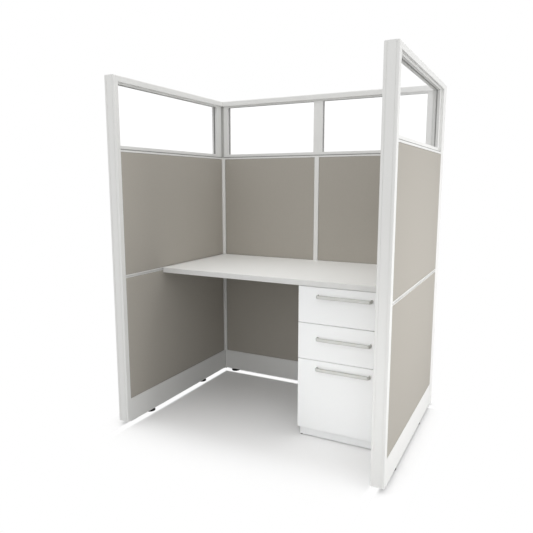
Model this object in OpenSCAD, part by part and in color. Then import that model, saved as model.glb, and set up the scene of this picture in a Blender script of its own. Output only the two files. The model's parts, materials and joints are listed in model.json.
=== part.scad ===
// Cubicle workstation: three tiled walls with a glass top row, a worksurface and a pedestal.
// Origin on the floor at the middle of the footprint, +Z up, the open side towards -Y.
// A wall panel is drawn with x along it from the inner corner, y from its inner face outwards.

/* [Footprint] */
// Width of one back panel; two of them stand side by side
bay_w = 610; // [540:5:700]
// Depth inside, from the front of the wings to the tiles of the back wall
wing_depth = 914; // [880:1:1000]
// Thickness of a wall over its tiles
panel_t = 57; // [55:0.5:62]

/* [Wall heights] */
// Bottom of the base covers above the floor
base_gap = 17; // [14:0.5:22]
// Top of the base covers
base_top = 134; // [120:1:150]
// Bottom of the slotted rail between lower and upper tiles
split_z = 738; // [732:0.5:742]
// Height of the slotted rail
split_h = 15.3; // [14:0.1:18]
// Top of the upper tiles
tile_top = 1330.5; // [1150:0.5:1500]
// Height of the ledge that closes the tops of the tiles
ledge_h = 8.5; // [7:0.1:12]
// Height of the ledge's recessed neck, which shows as a dark line
reveal_h = 5; // [3:0.1:8]
// Height of the bottom rail of a glass frame
sill_h = 15; // [14:0.1:24]
// Clear height of the glass between its rails
glass_h = 274.5; // [200:0.5:400]
// Height of the top rail of a glass frame
head_h = 21.5; // [18:0.1:24]
// Height of a top cap
cap_h = 28; // [24:0.1:34]
// How far the top rail shows under its cap
cap_show = 7.5; // [5:0.1:10]

/* [Tiles and covers] */
// Thickness of a fabric tile
tile_t = 12; // [11:0.1:13]
// Radius on the edges of a tile's face
tile_r = 2.5; // [1:0.1:4]
// Bare strip of frame beside the end of a tile
tile_margin = 13.5; // [12.5:0.1:15]
// Gap round a tile
tile_gap = 0.6; // [0.3:0.1:1]
// Sheet thickness of the base covers and the seam strips
cover_sheet = 1.5; // [1:0.1:2]
// Height of the raised lip along the top of a base cover
cover_lip = 6; // [4:0.1:9]
// How far the face of a base cover lies behind its lip
cover_step = 0.8; // [0.4:0.1:1.2]
// Height of the groove in the slotted rail
groove_h = 6.4; // [5:0.1:7]
// Depth of the groove in the slotted rail
groove_d = 9; // [7:0.1:10]
// Radius on the two ridges of the slotted rail
ridge_r = 2; // [0.5:0.1:3]

/* [Steel frames] */
// Height of a frame's foot above the floor
frame_lift = 30; // [27:0.5:36]
// Width of an upright
upright_w = 25; // [22:0.5:32]
// Wall of the frame tubes and of the foot channel
frame_wall = 2; // [1.5:0.1:2.5]
// Height of the tubes between the uprights
rail_h = 25; // [20:0.5:30]
// Height of the foot channel
foot_h = 20; // [16:0.5:24]

/* [Glides] */
// Distance from the front of a wing to its front glide
wing_glide_front = 204; // [150:1:260]
// Distance from the inner corner to the rear glide of a wing
wing_glide_rear = 228; // [180:1:300]
// Distance from either end of a back panel to its glides
back_glide_in = 59; // [55:1:160]
// Radius of the foot
pad_r = 25; // [18:0.5:27]
// Height of the foot's rim
pad_rim = 5; // [3:0.1:6]
// Height of the foot's cone over its rim
pad_cone = 5; // [3:0.1:6]
// Radius of the threaded stem
stem_r = 5; // [4:0.1:6]
// Radial clearance of the stem in its nut
stem_clear = 0.05; // [0.02:0.01:0.1]
// Radius to the corners of the hexagon on the stem
hex_r = 9.5; // [8:0.1:11]
// Height of the hexagon
hex_h = 6; // [4:0.1:7]
// Radius of the weld nut in the foot channel
nut_r = 9; // [8:0.1:11]
// Height of the weld nut
nut_h = 10; // [8:0.1:12]

/* [Glass frames] */
// Width of the stile at the front of a wing
stile_w = 20.5; // [18:0.1:26]
// Width of the two stiles at the seam of the back wall
seam_stile_w = 26; // [20:0.5:32]
// Width of the stile next to the corner on a wing
wing_stile_w = 48; // [36:0.5:60]
// Width of the stile next to the corner on the back wall
back_stile_w = 29.5; // [24:0.5:40]
// Wall of the glass frame extrusions and of the ledge
frame_skin = 1.8; // [1.4:0.1:2.2]
// How far the ledge's neck stands back from the glass frame's face
neck_in = 3; // [2:0.1:5]
// Thickness of the glass
glass_t = 6; // [5:0.1:8]
// Depth of the glazing channel
channel_d = 9; // [7.5:0.1:9.5]
// How deep the glass sits in its channel
glass_bite = 7; // [5:0.1:7.4]
// Thickness of the gasket on each face of the glass
gasket_t = 1.8; // [1.2:0.1:2.4]
// How far the gasket stands out of its channel
gasket_proud = 0.8; // [0.4:0.1:1.2]

/* [Posts and caps] */
// Depth of a front end post, front to back
post_d = 26; // [24:0.5:30]
// Bottom of the front end posts above the floor
post_lift = 22; // [18:0.5:26]
// Wall of the end posts and corner covers
post_wall = 2.2; // [1.8:0.1:2.4]
// Radius on the outer corners of the end posts and corner covers
post_r = 3.2; // [2.6:0.1:5]
// Width of a groove in the post's face
flute_w = 2.4; // [1:0.1:3]
// Depth of a groove in the post's face
flute_d = 1.3; // [0.6:0.1:1.4]
// Bottom of the corner posts above the floor
corner_lift = 8; // [5:0.5:14]
// Wall of a corner post
corner_wall = 2.5; // [2:0.1:3]
// Wall of a top cap
cap_wall = 2; // [1.6:0.1:2.4]
// Radius of the crowned top edges of the caps
cap_r = 6; // [4:0.1:8]

/* [Worksurface] */
// Height of the worksurface's top
desk_h = 752; // [748:0.5:756]
// Thickness of the worksurface
desk_t = 25.7; // [22:0.1:30]
// Distance from the back wall's tiles to the front edge of the worksurface
desk_d = 609.7; // [595:0.1:640]
// Gap between the worksurface and each wing
desk_gap = 3.3; // [3.1:0.1:4]
// Gap between the worksurface and the back wall
desk_back_gap = 0.5; // [0.3:0.1:3]
// Thickness of the edge bands
band_t = 2; // [1:0.1:3]
// Radius on the long edges of the bands
band_r = 1.6; // [0.4:0.1:2.4]

/* [Brackets] */
// Plate thickness of the brackets
plate_t = 2.5; // [2:0.1:2.7]
// Length of the side bracket in the slotted rail
side_bracket_l = 380; // [260:5:420]
// Width of the side bracket under the surface
side_bracket_w = 46; // [36:0.5:60]
// Distance of the side bracket from the back wall
side_bracket_back = 120; // [60:1:160]
// Length of the cantilever bracket
cantilever_l = 452; // [380:1:500]
// Height of the cantilever at the wall
cantilever_h = 112; // [108:0.5:120]
// Height of the cantilever at its tip
cantilever_tip = 16; // [12:0.5:24]
// Width of the cantilever's top flange
cantilever_w = 32; // [26:0.5:44]
// Radius of the largest lightening hole in the cantilever
lighten_r = 24; // [16:0.5:26]
// Height of a hook's neck
hook_h = 11; // [9:0.1:13]
// How far a hook hangs down behind the upright's wall
hook_drop = 9; // [6:0.1:11]
// Play round a hook in its slot
hook_play = 0.8; // [0.4:0.1:1.2]

/* [Pedestal] */
// Width of the pedestal
ped_w = 442; // [400:1:450]
// Depth of the pedestal with its fronts
ped_d = 580; // [575:1:590]
// Gap between the pedestal and the right wing
ped_gap = 3; // [2:0.1:4]
// How far the fronts stand back from the edge of the worksurface
ped_setback = 3.7; // [1:0.1:8]
// Bottom of the lowest drawer front
ped_foot = 43; // [38:0.5:50]
// Thickness of a drawer front
front_t = 19; // [16:0.1:22]
// Height of a box drawer's front
box_front_h = 169.7; // [155:0.1:172]
// Gap between the drawer fronts
front_gap = 2.5; // [2:0.1:4]
// Gap between the top front and the worksurface
top_gap = 2.3; // [1.5:0.1:4]
// Radius on the upright edges of a drawer front
front_r = 1.2; // [0.6:0.1:2]
// Sheet thickness of the case
case_sheet = 1.5; // [1.2:0.1:1.8]
// Width of the case's front flanges
case_flange = 11; // [8:0.1:12]
// How far the plinth stands back at the front and the sides
plinth_in = 10; // [6:0.5:16]
// Thickness of the plinth boards
plinth_t = 12; // [11.5:0.5:15]
// Height of the small glides under the plinth
stud_h = 4; // [3:0.1:8]
// Radius of the small glides
stud_r = 5.5; // [4:0.1:5.7]

/* [Drawers] */
// Sheet thickness of the drawer boxes
box_sheet = 1.5; // [1.2:0.1:1.8]
// Inside height of a box drawer
box_h = 112; // [90:0.5:120]
// Inside height of the file drawer
file_h = 262; // [240:0.5:275]
// Length of the drawer boxes
box_l = 520; // [510:1:530]
// Bottom of a drawer box above the bottom of its front
box_rise = 16; // [14:0.5:20]
// Height of the folded hem round the top of a box drawer
hem_h = 7; // [4:0.5:10]
// Width of the hanging-file rails of the file drawer
file_rail_w = 9; // [6:0.1:10]
// Height of the hanging-file rails
file_rail_h = 8; // [6:0.1:12]

/* [Bar pulls] */
// Overall length of a pull
pull_l = 256; // [200:1:320]
// How far a pull stands out from its front
pull_out = 25; // [22:0.1:34]
// Height of the bar's section
pull_bar_h = 16; // [12:0.1:19]
// Thickness of the bar, front to back
pull_bar_t = 9; // [7:0.1:10]
// Radius of the bar's bends on the outside
pull_bend = 13; // [11:0.5:18]
// Radius on the edges of the bar
pull_r = 3.4; // [1:0.1:3.4]
// Middle of the upper pull below the top of its front
upper_pull_drop = 41; // [30:0.5:70]
// Middle of the middle pull below the top of its front
middle_pull_drop = 66; // [30:0.5:90]
// Middle of the file drawer's pull below the top of its front
file_pull_drop = 36; // [30:0.5:90]

/* [Slides] */
// Width of a slide between case and drawer box
slide_w = 12.7; // [12.7:0.1:13.2]
// Height of the cabinet member
slide_h = 45.7; // [44:0.1:48]
// Length of the slide members
slide_l = 500; // [470:1:510]
// Sheet thickness of the slide members
slide_wall = 1.3; // [1.1:0.05:1.5]
// Radius of the balls
ball_r = 1.7; // [1.6:0.05:1.8]
// Running clearance of a ball to each race
ball_clear = 0.1; // [0.05:0.01:0.1]
// Depth of a race in the face of its flange
race_d = 0.4; // [0.2:0.05:0.6]
// Number of balls in a cage
ball_count = 5; // [3:1:7]
// Distance between the balls of a cage
ball_pitch = 18; // [12:0.5:24]
// Sheet thickness of a ball cage
cage_t = 0.9; // [0.6:0.05:1.1]

/* [Hidden] */
$fn = 48;

// Overrun of a cut past the face that it leaves by
over = 1;
// Gap between pieces that stand beside each other without touching
shy = 0.3;
// Gap left at the butt joints of a welded or screwed frame
joint_gap = 0.2;

// Walls
inner_y = (wing_depth - panel_t) / 2;
core_t = panel_t - 2 * tile_t;
core_out = panel_t - tile_t;
post_x = wing_depth - post_d;
wing_l = post_x + tile_margin;
split_mid = split_z + split_h / 2;
ledge_top = tile_top + ledge_h;
sill_z = ledge_top + reveal_h;
glass_z = sill_z + sill_h;
glass_top = glass_z + glass_h;
head_top = glass_top + head_h;
cap_z = glass_top + cap_show;
wall_h = cap_z + cap_h;
channel_w = glass_t + 2 * gasket_t;
cover_reach = panel_t + tile_margin;
wing_feet = [wing_glide_rear, wing_depth - wing_glide_front];
back_feet = [back_glide_in, bay_w - back_glide_in];

// Worksurface and its brackets
desk_under = desk_h - desk_t;
desk_front = inner_y - desk_d;
desk_half = bay_w - desk_gap;
desk_len = desk_d - desk_back_gap;
bracket_z = desk_under - plate_t;
hook_x = bay_w - tile_margin / 2;
hook_places = [bracket_z - cantilever_h * 0.28, bracket_z - cantilever_h * 0.82];
// Places of the lightening holes along the cantilever
lighten_shares = [0.15, 0.36, 0.57];

// Pedestal, with the drawers from the top down
ped_x0 = bay_w - ped_gap - ped_w;
ped_y0 = desk_front + ped_setback;
case_y0 = ped_y0 + front_t + shy;
case_d = ped_d - front_t - shy;
case_h = desk_under - ped_foot;
box_w = ped_w - 2 * case_sheet - 2 * slide_w;
upper_top = desk_under - top_gap;
upper_z = upper_top - box_front_h;
middle_top = upper_z - front_gap;
middle_z = middle_top - box_front_h;
file_top = middle_z - front_gap;
file_z = ped_foot;

// Slides: the flanges of the three nested members, and the two rows of balls between them
row_gap = 2 * (ball_r + ball_clear - race_d);
race_r = ball_r + ball_clear;
mid_h = slide_h - 2 * (slide_wall + row_gap);
inner_h = mid_h - 2 * (slide_wall + row_gap);
outer_row = [slide_w * 0.41, (mid_h + row_gap) / 2];
inner_row = [slide_w * 0.54, (inner_h + row_gap) / 2];
lip_drop = row_gap * 0.55;
slide_up = box_rise + slide_h / 2 + box_sheet;
slide_y = case_y0 + case_sheet + shy;
slide_zs = [upper_z + slide_up, middle_z + slide_up, file_z + slide_up];
cage_l = ball_count * ball_pitch;

// Colours as the photograph shows them
trim_white = "#e8e8e6";
post_grey = "#c4c4c1";
tile_cloth = "#aaa59c";
steel_grey = "#8f9294";
case_white = "#eceded";
dark_rubber = "#2a2a2a";

// Places a panel's left copy on the back wall
module on_back() {
    translate([-bay_w, inner_y, 0]) children();
}

// Turns a panel to run from the left corner towards the front, as the left wing
module on_wing() {
    on_back() mirror([1, 1, 0]) children();
}

// The same on the right half of the workstation
module on_right() {
    mirror([1, 0, 0]) children();
}

module both_halves() {
    children();
    on_right() children();
}

// Flips a piece of the inner face to the outer face of its panel
module on_outer_face() {
    translate([0, panel_t, 0]) mirror([0, 1, 0]) children();
}

module both_faces() {
    children();
    on_outer_face() children();
}

// Doubles a plane section about its own x axis
module up_and_down() {
    children();
    mirror([0, 1]) children();
}

// Extrudes a section drawn in Y and Z along +X
module along_x(l) {
    rotate([90, 0, 90]) linear_extrude(height = l) children();
}

// Extrudes a section drawn in X and Z along +Y
module along_y(l) {
    translate([0, l, 0]) rotate([90, 0, 0]) linear_extrude(height = l) children();
}

// Rectangle whose two corners on the x = 0 side are rounded
module soft_nose(d, h, r) {
    intersection() {
        square([d, h]);
        union() {
            translate([r, 0]) square([d, h]);
            translate([0, r]) square([d, h - 2 * r]);
            for (y = [r, h - r]) translate([r, y]) circle(r);
        }
    }
}

// Rectangle whose two corners on the y = 0 side are rounded
module soft_front(w, d, r) {
    mirror([1, -1]) soft_nose(d, w, r);
}

// Rectangle whose two top corners are rounded
module soft_top(w, h, r) {
    translate([0, h]) mirror([0, 1]) soft_front(w, h, r);
}

// Rectangle whose four corners are rounded
module soft_bar(w, h, r) {
    translate([r, 0]) square([w - 2 * r, h]);
    translate([0, r]) square([w, h - 2 * r]);
    for (x = [r, w - r]) for (y = [r, h - r]) translate([x, y]) circle(r);
}

// Board whose face at y = 0 is rounded on its four edges
module soft_board(w, d, h, r) {
    intersection() {
        linear_extrude(height = h) soft_front(w, d, r);
        along_x(w) soft_nose(d, h, r);
    }
}

// Square whose corner at x = 0, y = s is rounded
module soft_corner(s, r) {
    translate([r, 0]) square([s - r, s]);
    square([s, s - r]);
    translate([r, s - r]) circle(r);
}

// Slots for the hooks of the cantilever bracket, cut from y = 0 to depth
module hook_slots(depth) {
    for (z = hook_places)
        translate([hook_x - plate_t / 2 - hook_play, -over, z])
            cube([plate_t + 2 * hook_play, depth + over, hook_h + hook_drop + hook_play]);
}

// Uprights of a panel's frame, as rectangular tubes
module uprights(l) {
    for (x = [0, l - upright_w])
        translate([x, tile_t, frame_lift]) linear_extrude(height = tile_top - frame_lift)
            difference() {
                square([upright_w, core_t]);
                translate([frame_wall, frame_wall])
                    square([upright_w - 2 * frame_wall, core_t - 2 * frame_wall]);
            }
}

// Tube between the uprights with its underside at height z
module frame_rail(l, z) {
    x0 = upright_w + joint_gap;
    translate([x0, tile_t, z]) along_x(l - 2 * x0) difference() {
        square([core_t, rail_h]);
        translate([frame_wall, frame_wall])
            square([core_t - 2 * frame_wall, rail_h - 2 * frame_wall]);
    }
}

// Channel at the foot of a frame, with a weld nut over each glide
module foot_channel(l, feet) {
    x0 = upright_w + joint_gap;
    difference() {
        union() {
            translate([x0, tile_t, frame_lift]) along_x(l - 2 * x0) difference() {
                square([core_t, foot_h]);
                translate([frame_wall, frame_wall]) square([core_t - 2 * frame_wall, foot_h]);
            }
            for (x = feet) translate([x, panel_t / 2, frame_lift])
                cylinder(r = nut_r, h = frame_wall + nut_h);
        }
        for (x = feet) translate([x, panel_t / 2, frame_lift - over])
            cylinder(r = stem_r + stem_clear, h = frame_wall + nut_h + 2 * over);
    }
}

module panel_frame(l, feet, slotted) {
    color(steel_grey) {
        difference() {
            uprights(l);
            if (slotted) hook_slots(tile_t + frame_wall + over);
        }
        foot_channel(l, feet);
        for (z = [base_top - rail_h / 2, split_mid - rail_h / 2, tile_top - rail_h])
            frame_rail(l, z);
    }
}

// One fabric tile between two heights
module tile(l, z0, z1) {
    translate([tile_margin + tile_gap, 0, z0 + tile_gap])
        soft_board(l - 2 * (tile_margin + tile_gap), tile_t, z1 - z0 - 2 * tile_gap, tile_r);
}

module face_tiles(l) {
    color(tile_cloth) {
        tile(l, base_top, split_z);
        tile(l, split_z + split_h, tile_top);
    }
}

// Folded sheet with a raised lip along its top and flanges turned back to the frame
module base_cover(x0, x1) {
    s = cover_sheet;
    lip_z = base_top - cover_lip;
    color(trim_white) translate([x0, 0, 0]) along_x(x1 - x0) polygon([
        [0, lip_z], [0, base_top], [tile_t, base_top], [tile_t, base_top - s],
        [s, base_top - s], [s, lip_z + cover_step], [s + cover_step, lip_z],
        [s + cover_step, base_gap + s], [tile_t, base_gap + s], [tile_t, base_gap],
        [cover_step, base_gap], [cover_step, lip_z - cover_step]
    ]);
}

module wing_base_covers() {
    x1 = post_x - shy;
    both_halves() on_wing() {
        base_cover(shy, x1);
        on_outer_face() base_cover(tile_margin + shy, x1);
    }
}

module back_base_covers() {
    x1 = bay_w - shy / 2;
    both_halves() on_back() {
        base_cover(shy, x1);
        on_outer_face() base_cover(tile_margin + shy, x1);
    }
}

// Rail with a groove between two ridges, into which a bracket's tongue goes
module split_rail(l) {
    color(trim_white) translate([tile_margin + tile_gap, 0, split_z])
        along_x(l - 2 * (tile_margin + tile_gap)) difference() {
            soft_nose(tile_t, split_h, ridge_r);
            translate([-over, (split_h - groove_h) / 2]) square([groove_d + over, groove_h]);
        }
}

module split_rails() {
    both_halves() {
        on_wing() both_faces() split_rail(wing_l);
        on_back() both_faces() split_rail(bay_w);
    }
}

// Hollow ledge with a narrower neck that carries the glass frame
module ledge_section() {
    s = frame_skin;
    neck = tile_t + neck_in;
    difference() {
        union() {
            square([panel_t, ledge_h]);
            translate([neck, 0]) square([panel_t - 2 * neck, ledge_h + reveal_h]);
        }
        for (y = [s, panel_t - neck]) translate([y, s]) square([neck - s, ledge_h - 2 * s]);
        translate([neck + s, s])
            square([panel_t - 2 * neck - 2 * s, ledge_h + reveal_h - 2 * s]);
    }
}

// Ledge of one panel, cut round the leg of the corner cover
module ledge(x1) {
    color(trim_white) translate([0, 0, tile_top]) difference() {
        translate([shy, 0, 0]) along_x(x1 - shy) ledge_section();
        translate([-over, core_out - shy, -over])
            cube([tile_margin + shy + over, tile_t + shy + over, ledge_h + 2 * over]);
    }
}

module ledges() {
    both_halves() {
        on_wing() ledge(post_x - shy);
        on_back() ledge(bay_w - shy / 2);
        // Tab that covers the notch of the corner post
        color(trim_white) on_back() translate([shy - tile_t, shy, tile_top])
            cube([tile_t, tile_t - 2 * shy, ledge_h]);
    }
}

// Glass frame extrusion, x from its outer side to the glazing channel, y across the wall
module glazed_section(w) {
    s = frame_skin;
    side = (core_t - channel_w) / 2;
    difference() {
        square([w, core_t]);
        translate([s, s]) square([w - channel_d - 2 * s, core_t - 2 * s]);
        for (y = [s, core_t - side + s])
            translate([w - channel_d, y]) square([channel_d - s, side - 2 * s]);
        translate([w - channel_d, side]) square([channel_d + over, channel_w]);
    }
}

module stile(w) {
    translate([0, tile_t, sill_z]) linear_extrude(height = head_top - sill_z)
        glazed_section(w);
}

module glass_frame(l, corner_w, far_w) {
    x0 = corner_w + joint_gap;
    rail_l = l - x0 - far_w - joint_gap;
    color(trim_white) {
        stile(corner_w);
        translate([l - joint_gap / 2, 0, 0]) mirror([1, 0, 0]) stile(far_w - joint_gap / 2);
        translate([x0, tile_t, sill_z]) along_x(rail_l) mirror([1, -1])
            glazed_section(sill_h);
        translate([x0, tile_t, head_top]) mirror([0, 0, 1]) along_x(rail_l) mirror([1, -1])
            glazed_section(head_h);
    }
}

module glass_pane(l, corner_w, far_w) {
    color("#dfe9e8", 0.3)
        translate([corner_w - glass_bite, (panel_t - glass_t) / 2, glass_z - glass_bite])
            cube([l - corner_w - far_w + 2 * glass_bite, glass_t,
                glass_h + 2 * glass_bite]);
}

// Two thin frames of rubber, one on each face of the glass
module gasket(l, corner_w, far_w) {
    sight_w = l - corner_w - far_w;
    color(dark_rubber) for (y = [-channel_w, glass_t] / 2)
        translate([corner_w, panel_t / 2 + y, glass_z]) difference() {
            translate([-glass_bite, 0, -glass_bite])
                cube([sight_w + 2 * glass_bite, gasket_t, glass_h + 2 * glass_bite]);
            translate([gasket_proud, -over, gasket_proud])
                cube([sight_w - 2 * gasket_proud, gasket_t + 2 * over,
                    glass_h - 2 * gasket_proud]);
        }
}

module glazing_gaskets() {
    both_halves() {
        on_wing() gasket(wing_l, wing_stile_w, stile_w);
        on_back() gasket(bay_w, back_stile_w, seam_stile_w);
    }
}

// Crowned cap whose lower lips reach in to the glass frame and whose two legs stand on it
module cap_section() {
    s = cap_wall;
    difference() {
        soft_top(panel_t, cap_h, cap_r);
        translate([s, s]) soft_top(panel_t - 2 * s, cap_h - 2 * s, cap_r - s);
        translate([tile_t, -over]) square([core_t, s + 2 * over]);
    }
    for (y = [tile_t, core_out - s])
        translate([y, head_top - cap_z]) square([s, cap_h - head_top + cap_z - s]);
}

module top_cap(x1) {
    color(trim_white) translate([shy, 0, cap_z]) along_x(x1 - shy) cap_section();
}

module top_caps() {
    both_halves() {
        on_wing() top_cap(post_x - shy);
        on_back() top_cap(bay_w - joint_gap / 2);
    }
}

// Plan of a front end post: closed at the front, open at the back for the frame's upright
module post_plan() {
    translate([post_d, 0]) mirror([1, 0]) soft_nose(post_d, panel_t, post_r);
}

module end_post_section() {
    s = post_wall;
    difference() {
        post_plan();
        translate([s, s]) square([post_d - 2 * s, panel_t - 2 * s]);
        translate([-over, tile_t - shy]) square([s + 2 * over, core_t + 2 * shy]);
        for (y = [tile_t, core_out])
            translate([post_d - flute_d, y - flute_w / 2]) square([post_d, flute_w]);
    }
    // Ribs from the face back to the upright
    for (y = [tile_t + s, core_out - 2 * s])
        translate([tile_margin, y]) square([post_d - tile_margin - s, s]);
}

module front_end_posts() {
    color(trim_white) both_halves() on_wing() translate([post_x, 0, post_lift])
        linear_extrude(height = wall_h - cap_r - post_lift) end_post_section();
}

// Crowned lid of a front end post
module end_post_cap() {
    translate([post_x, 0, wall_h - cap_r]) intersection() {
        translate([0, 0, cap_r - cap_h]) along_x(post_d) soft_top(panel_t, cap_h, cap_r);
        linear_extrude(height = cap_r + over) post_plan();
    }
}

// Half of a corner cap, from the crowned section to the mitre line
module corner_cap_half() {
    intersection() {
        translate([-panel_t, 0, 0]) along_x(panel_t) soft_top(panel_t, cap_h, cap_r);
        translate([0, 0, -over]) linear_extrude(height = cap_h + 2 * over)
            polygon([[0, 0], [0, panel_t], [-panel_t, panel_t]]);
    }
}

// Moulded cap over a corner post, open from below down to the post's top
module corner_cap() {
    post_drop = head_top - cap_z;
    difference() {
        union() {
            corner_cap_half();
            mirror([1, 1, 0]) corner_cap_half();
        }
        translate([post_wall - panel_t, -over, -over])
            cube([panel_t, panel_t - post_wall + over, post_drop + over]);
    }
}

module post_caps() {
    color(trim_white) both_halves() {
        on_wing() end_post_cap();
        on_back() translate([0, 0, cap_z]) corner_cap();
    }
}

// Outline of a corner post, pulled in by the given distance: a square with its inner
// corner cut back to the two frames
module corner_outline(pull) {
    far = core_out - pull;
    near = tile_t + pull;
    polygon([
        [-far, pull], [-near, pull], [-near, near], [-pull, near], [-pull, far], [-far, far]
    ]);
}

module corner_posts() {
    color(post_grey) both_halves() on_back() translate([0, 0, corner_lift])
        linear_extrude(height = head_top - corner_lift) difference() {
            corner_outline(0);
            corner_outline(corner_wall);
        }
}

// Angle round the outside of a corner, with lips at its ends and ribs to the post
module corner_cover_section() {
    s = post_wall;
    inner = cover_reach + over;
    difference() {
        soft_corner(cover_reach, post_r);
        translate([s, cover_reach - s - inner]) soft_corner(inner, post_r - s);
    }
    square([tile_t - shy, s]);
    translate([cover_reach - s, cover_reach - tile_t + shy]) square([s, tile_t - shy]);
    for (d = [tile_t + 2 * s, panel_t - 2 * tile_t]) {
        translate([0, cover_reach - d - s]) square([tile_t, s]);
        translate([d, cover_reach - tile_t]) square([s, tile_t]);
    }
}

module corner_covers() {
    color(trim_white) both_halves() on_back()
        translate([-panel_t, panel_t - cover_reach, corner_lift])
            linear_extrude(height = cap_z - corner_lift) corner_cover_section();
}

// Strip over the joint of the two back panels, flush with the tiles
module seam_strip() {
    half = tile_margin - tile_gap;
    translate([bay_w, 0, base_top]) linear_extrude(height = tile_top - base_top) {
        translate([-half, 0]) square([2 * half, cover_sheet]);
        for (x = [-half, half - cover_sheet]) translate([x, 0]) square([cover_sheet, tile_t]);
    }
}

// Angle between the tiles of a wing and of the back wall, flush with both
module corner_strip() {
    half = tile_margin - tile_gap;
    s = cover_sheet;
    translate([0, 0, base_top]) linear_extrude(height = tile_top - base_top) {
        polygon([[-s, -half], [0, -half], [0, 0], [half, 0], [half, s], [-s, s]]);
        translate([-tile_t, -half]) square([tile_t, s]);
        translate([half - s, 0]) square([s, tile_t]);
    }
}

module seam_strips() {
    color(trim_white) {
        on_back() {
            difference() {
                seam_strip();
                hook_slots(tile_t);
            }
            on_outer_face() seam_strip();
        }
        both_halves() on_back() corner_strip();
    }
}

// Levelling glide at a distance along a panel
module glide(x) {
    translate([x, panel_t / 2, 0]) {
        color(dark_rubber) {
            cylinder(r = pad_r, h = pad_rim);
            translate([0, 0, pad_rim])
                cylinder(r1 = pad_r, r2 = hex_r + pad_rim / 2, h = pad_cone);
        }
        color(steel_grey) translate([0, 0, pad_rim + pad_cone]) {
            cylinder(r = hex_r, h = hex_h, $fn = 6);
            cylinder(r = stem_r, h = frame_lift + frame_wall + nut_h - pad_rim);
        }
    }
}

module worksurface() {
    color("#e9e9e7") translate([band_t - desk_half, desk_front + band_t, desk_under])
        cube([2 * (desk_half - band_t), desk_len - band_t, desk_t]);
}

// Rounded bands along the front and the two ends of the worksurface
module edge_bands() {
    color("#dfdfdd") translate([0, desk_front, desk_under]) {
        translate([-desk_half, 0, 0]) along_x(2 * desk_half) soft_nose(band_t, desk_t, band_r);
        both_halves() translate([-desk_half, band_t + joint_gap, 0])
            along_y(desk_len - band_t - joint_gap) soft_nose(band_t, desk_t, band_r);
    }
}

// Folded bracket: a shelf under the surface, and a tongue in the slotted rail
module side_bracket() {
    tongue_z = split_mid - groove_h / 2;
    color(steel_grey) on_wing() translate([side_bracket_back, 0, 0])
        along_x(side_bracket_l) {
            translate([-side_bracket_w, bracket_z]) square([side_bracket_w - shy, plate_t]);
            translate([-plate_t - shy, bracket_z])
                square([plate_t, tongue_z + plate_t - bracket_z]);
            translate([-plate_t - shy, tongue_z]) square([plate_t + groove_d, plate_t]);
        }
}

// Side view of the cantilever's plate: x is minus the distance from the back wall
module cantilever_plate() {
    rear = tile_t + 2 * cover_sheet;
    neck = tile_t + frame_wall + shy + plate_t;
    difference() {
        union() {
            polygon([
                [-shy, bracket_z], [-shy, bracket_z - cantilever_h],
                [-rear, bracket_z - cantilever_h],
                [-cantilever_l, bracket_z - cantilever_tip], [-cantilever_l, bracket_z]
            ]);
            for (z = hook_places) {
                translate([-rear, z]) square([rear + neck, hook_h]);
                translate([neck - plate_t, z - hook_drop]) square([plate_t, hook_h + hook_drop]);
            }
        }
        for (share = lighten_shares) {
            depth = cantilever_h - share * (cantilever_h - cantilever_tip);
            translate([-share * cantilever_l, bracket_z - depth / 2])
                circle(lighten_r * depth / cantilever_h);
        }
    }
}

module cantilever_bracket() {
    color(steel_grey) on_back() {
        translate([hook_x - plate_t / 2, 0, 0]) along_x(plate_t) cantilever_plate();
        translate([hook_x - cantilever_w / 2, -cantilever_l, bracket_z])
            cube([cantilever_w, cantilever_l - shy, plate_t]);
    }
}

// Places a piece of the pedestal's left side, and its mirror image on the right side
module both_case_sides() {
    translate([ped_x0, 0, 0]) children();
    translate([ped_x0 + ped_w, 0, 0]) mirror([1, 0, 0]) children();
}

// Side sheet with a front flange that is notched where the slides come through
module pedestal_sides() {
    color(case_white) both_case_sides() translate([0, case_y0, 0]) difference() {
        translate([0, 0, ped_foot]) linear_extrude(height = case_h) {
            square([case_sheet, case_d]);
            square([case_flange, case_sheet]);
        }
        for (z = slide_zs) translate([case_sheet, -over, z - slide_h / 2 - over])
            cube([case_flange, case_sheet + 2 * over, slide_h + 2 * over]);
    }
}

module pedestal_back() {
    color(case_white) translate([ped_x0 + case_sheet, case_y0 + case_d - case_sheet, ped_foot])
        cube([ped_w - 2 * case_sheet, case_sheet, case_h]);
}

// Plate between the sides, with a rail along its front edge that turns to +Z
module case_plate() {
    rail_in = case_flange + joint_gap;
    translate([ped_x0 + case_sheet, case_y0 + case_sheet, 0])
        cube([ped_w - 2 * case_sheet, case_d - 2 * case_sheet, case_sheet]);
    translate([ped_x0 + rail_in, case_y0, 0])
        cube([ped_w - 2 * rail_in, case_sheet, case_flange]);
}

module pedestal_top_bottom() {
    color(case_white) {
        translate([0, 0, ped_foot]) case_plate();
        translate([0, 0, desk_under]) mirror([0, 0, 1]) case_plate();
    }
}

// Four boards under the case
module plinth() {
    h = ped_foot - stud_h;
    d = ped_d - 2 * plinth_in;
    y0 = ped_y0 + plinth_in;
    color(case_white) {
        for (y = [y0, y0 + d - plinth_t]) translate([ped_x0 + plinth_in, y, stud_h])
            cube([ped_w - 2 * plinth_in, plinth_t, h]);
        both_case_sides() translate([plinth_in, y0 + plinth_t + joint_gap, stud_h])
            cube([plinth_t, d - 2 * (plinth_t + joint_gap), h]);
    }
}

module plinth_glides() {
    in = plinth_in + plinth_t / 2;
    color(dark_rubber) both_case_sides() for (y = [in, ped_d - in])
        translate([in, ped_y0 + y, 0]) cylinder(r = stud_r, h = stud_h);
}

// Slide sections, x from the case to the drawer box, y upwards from the slide's middle.
// Each flange faces the next one across a row of balls, which runs in races cut in both.

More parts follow.
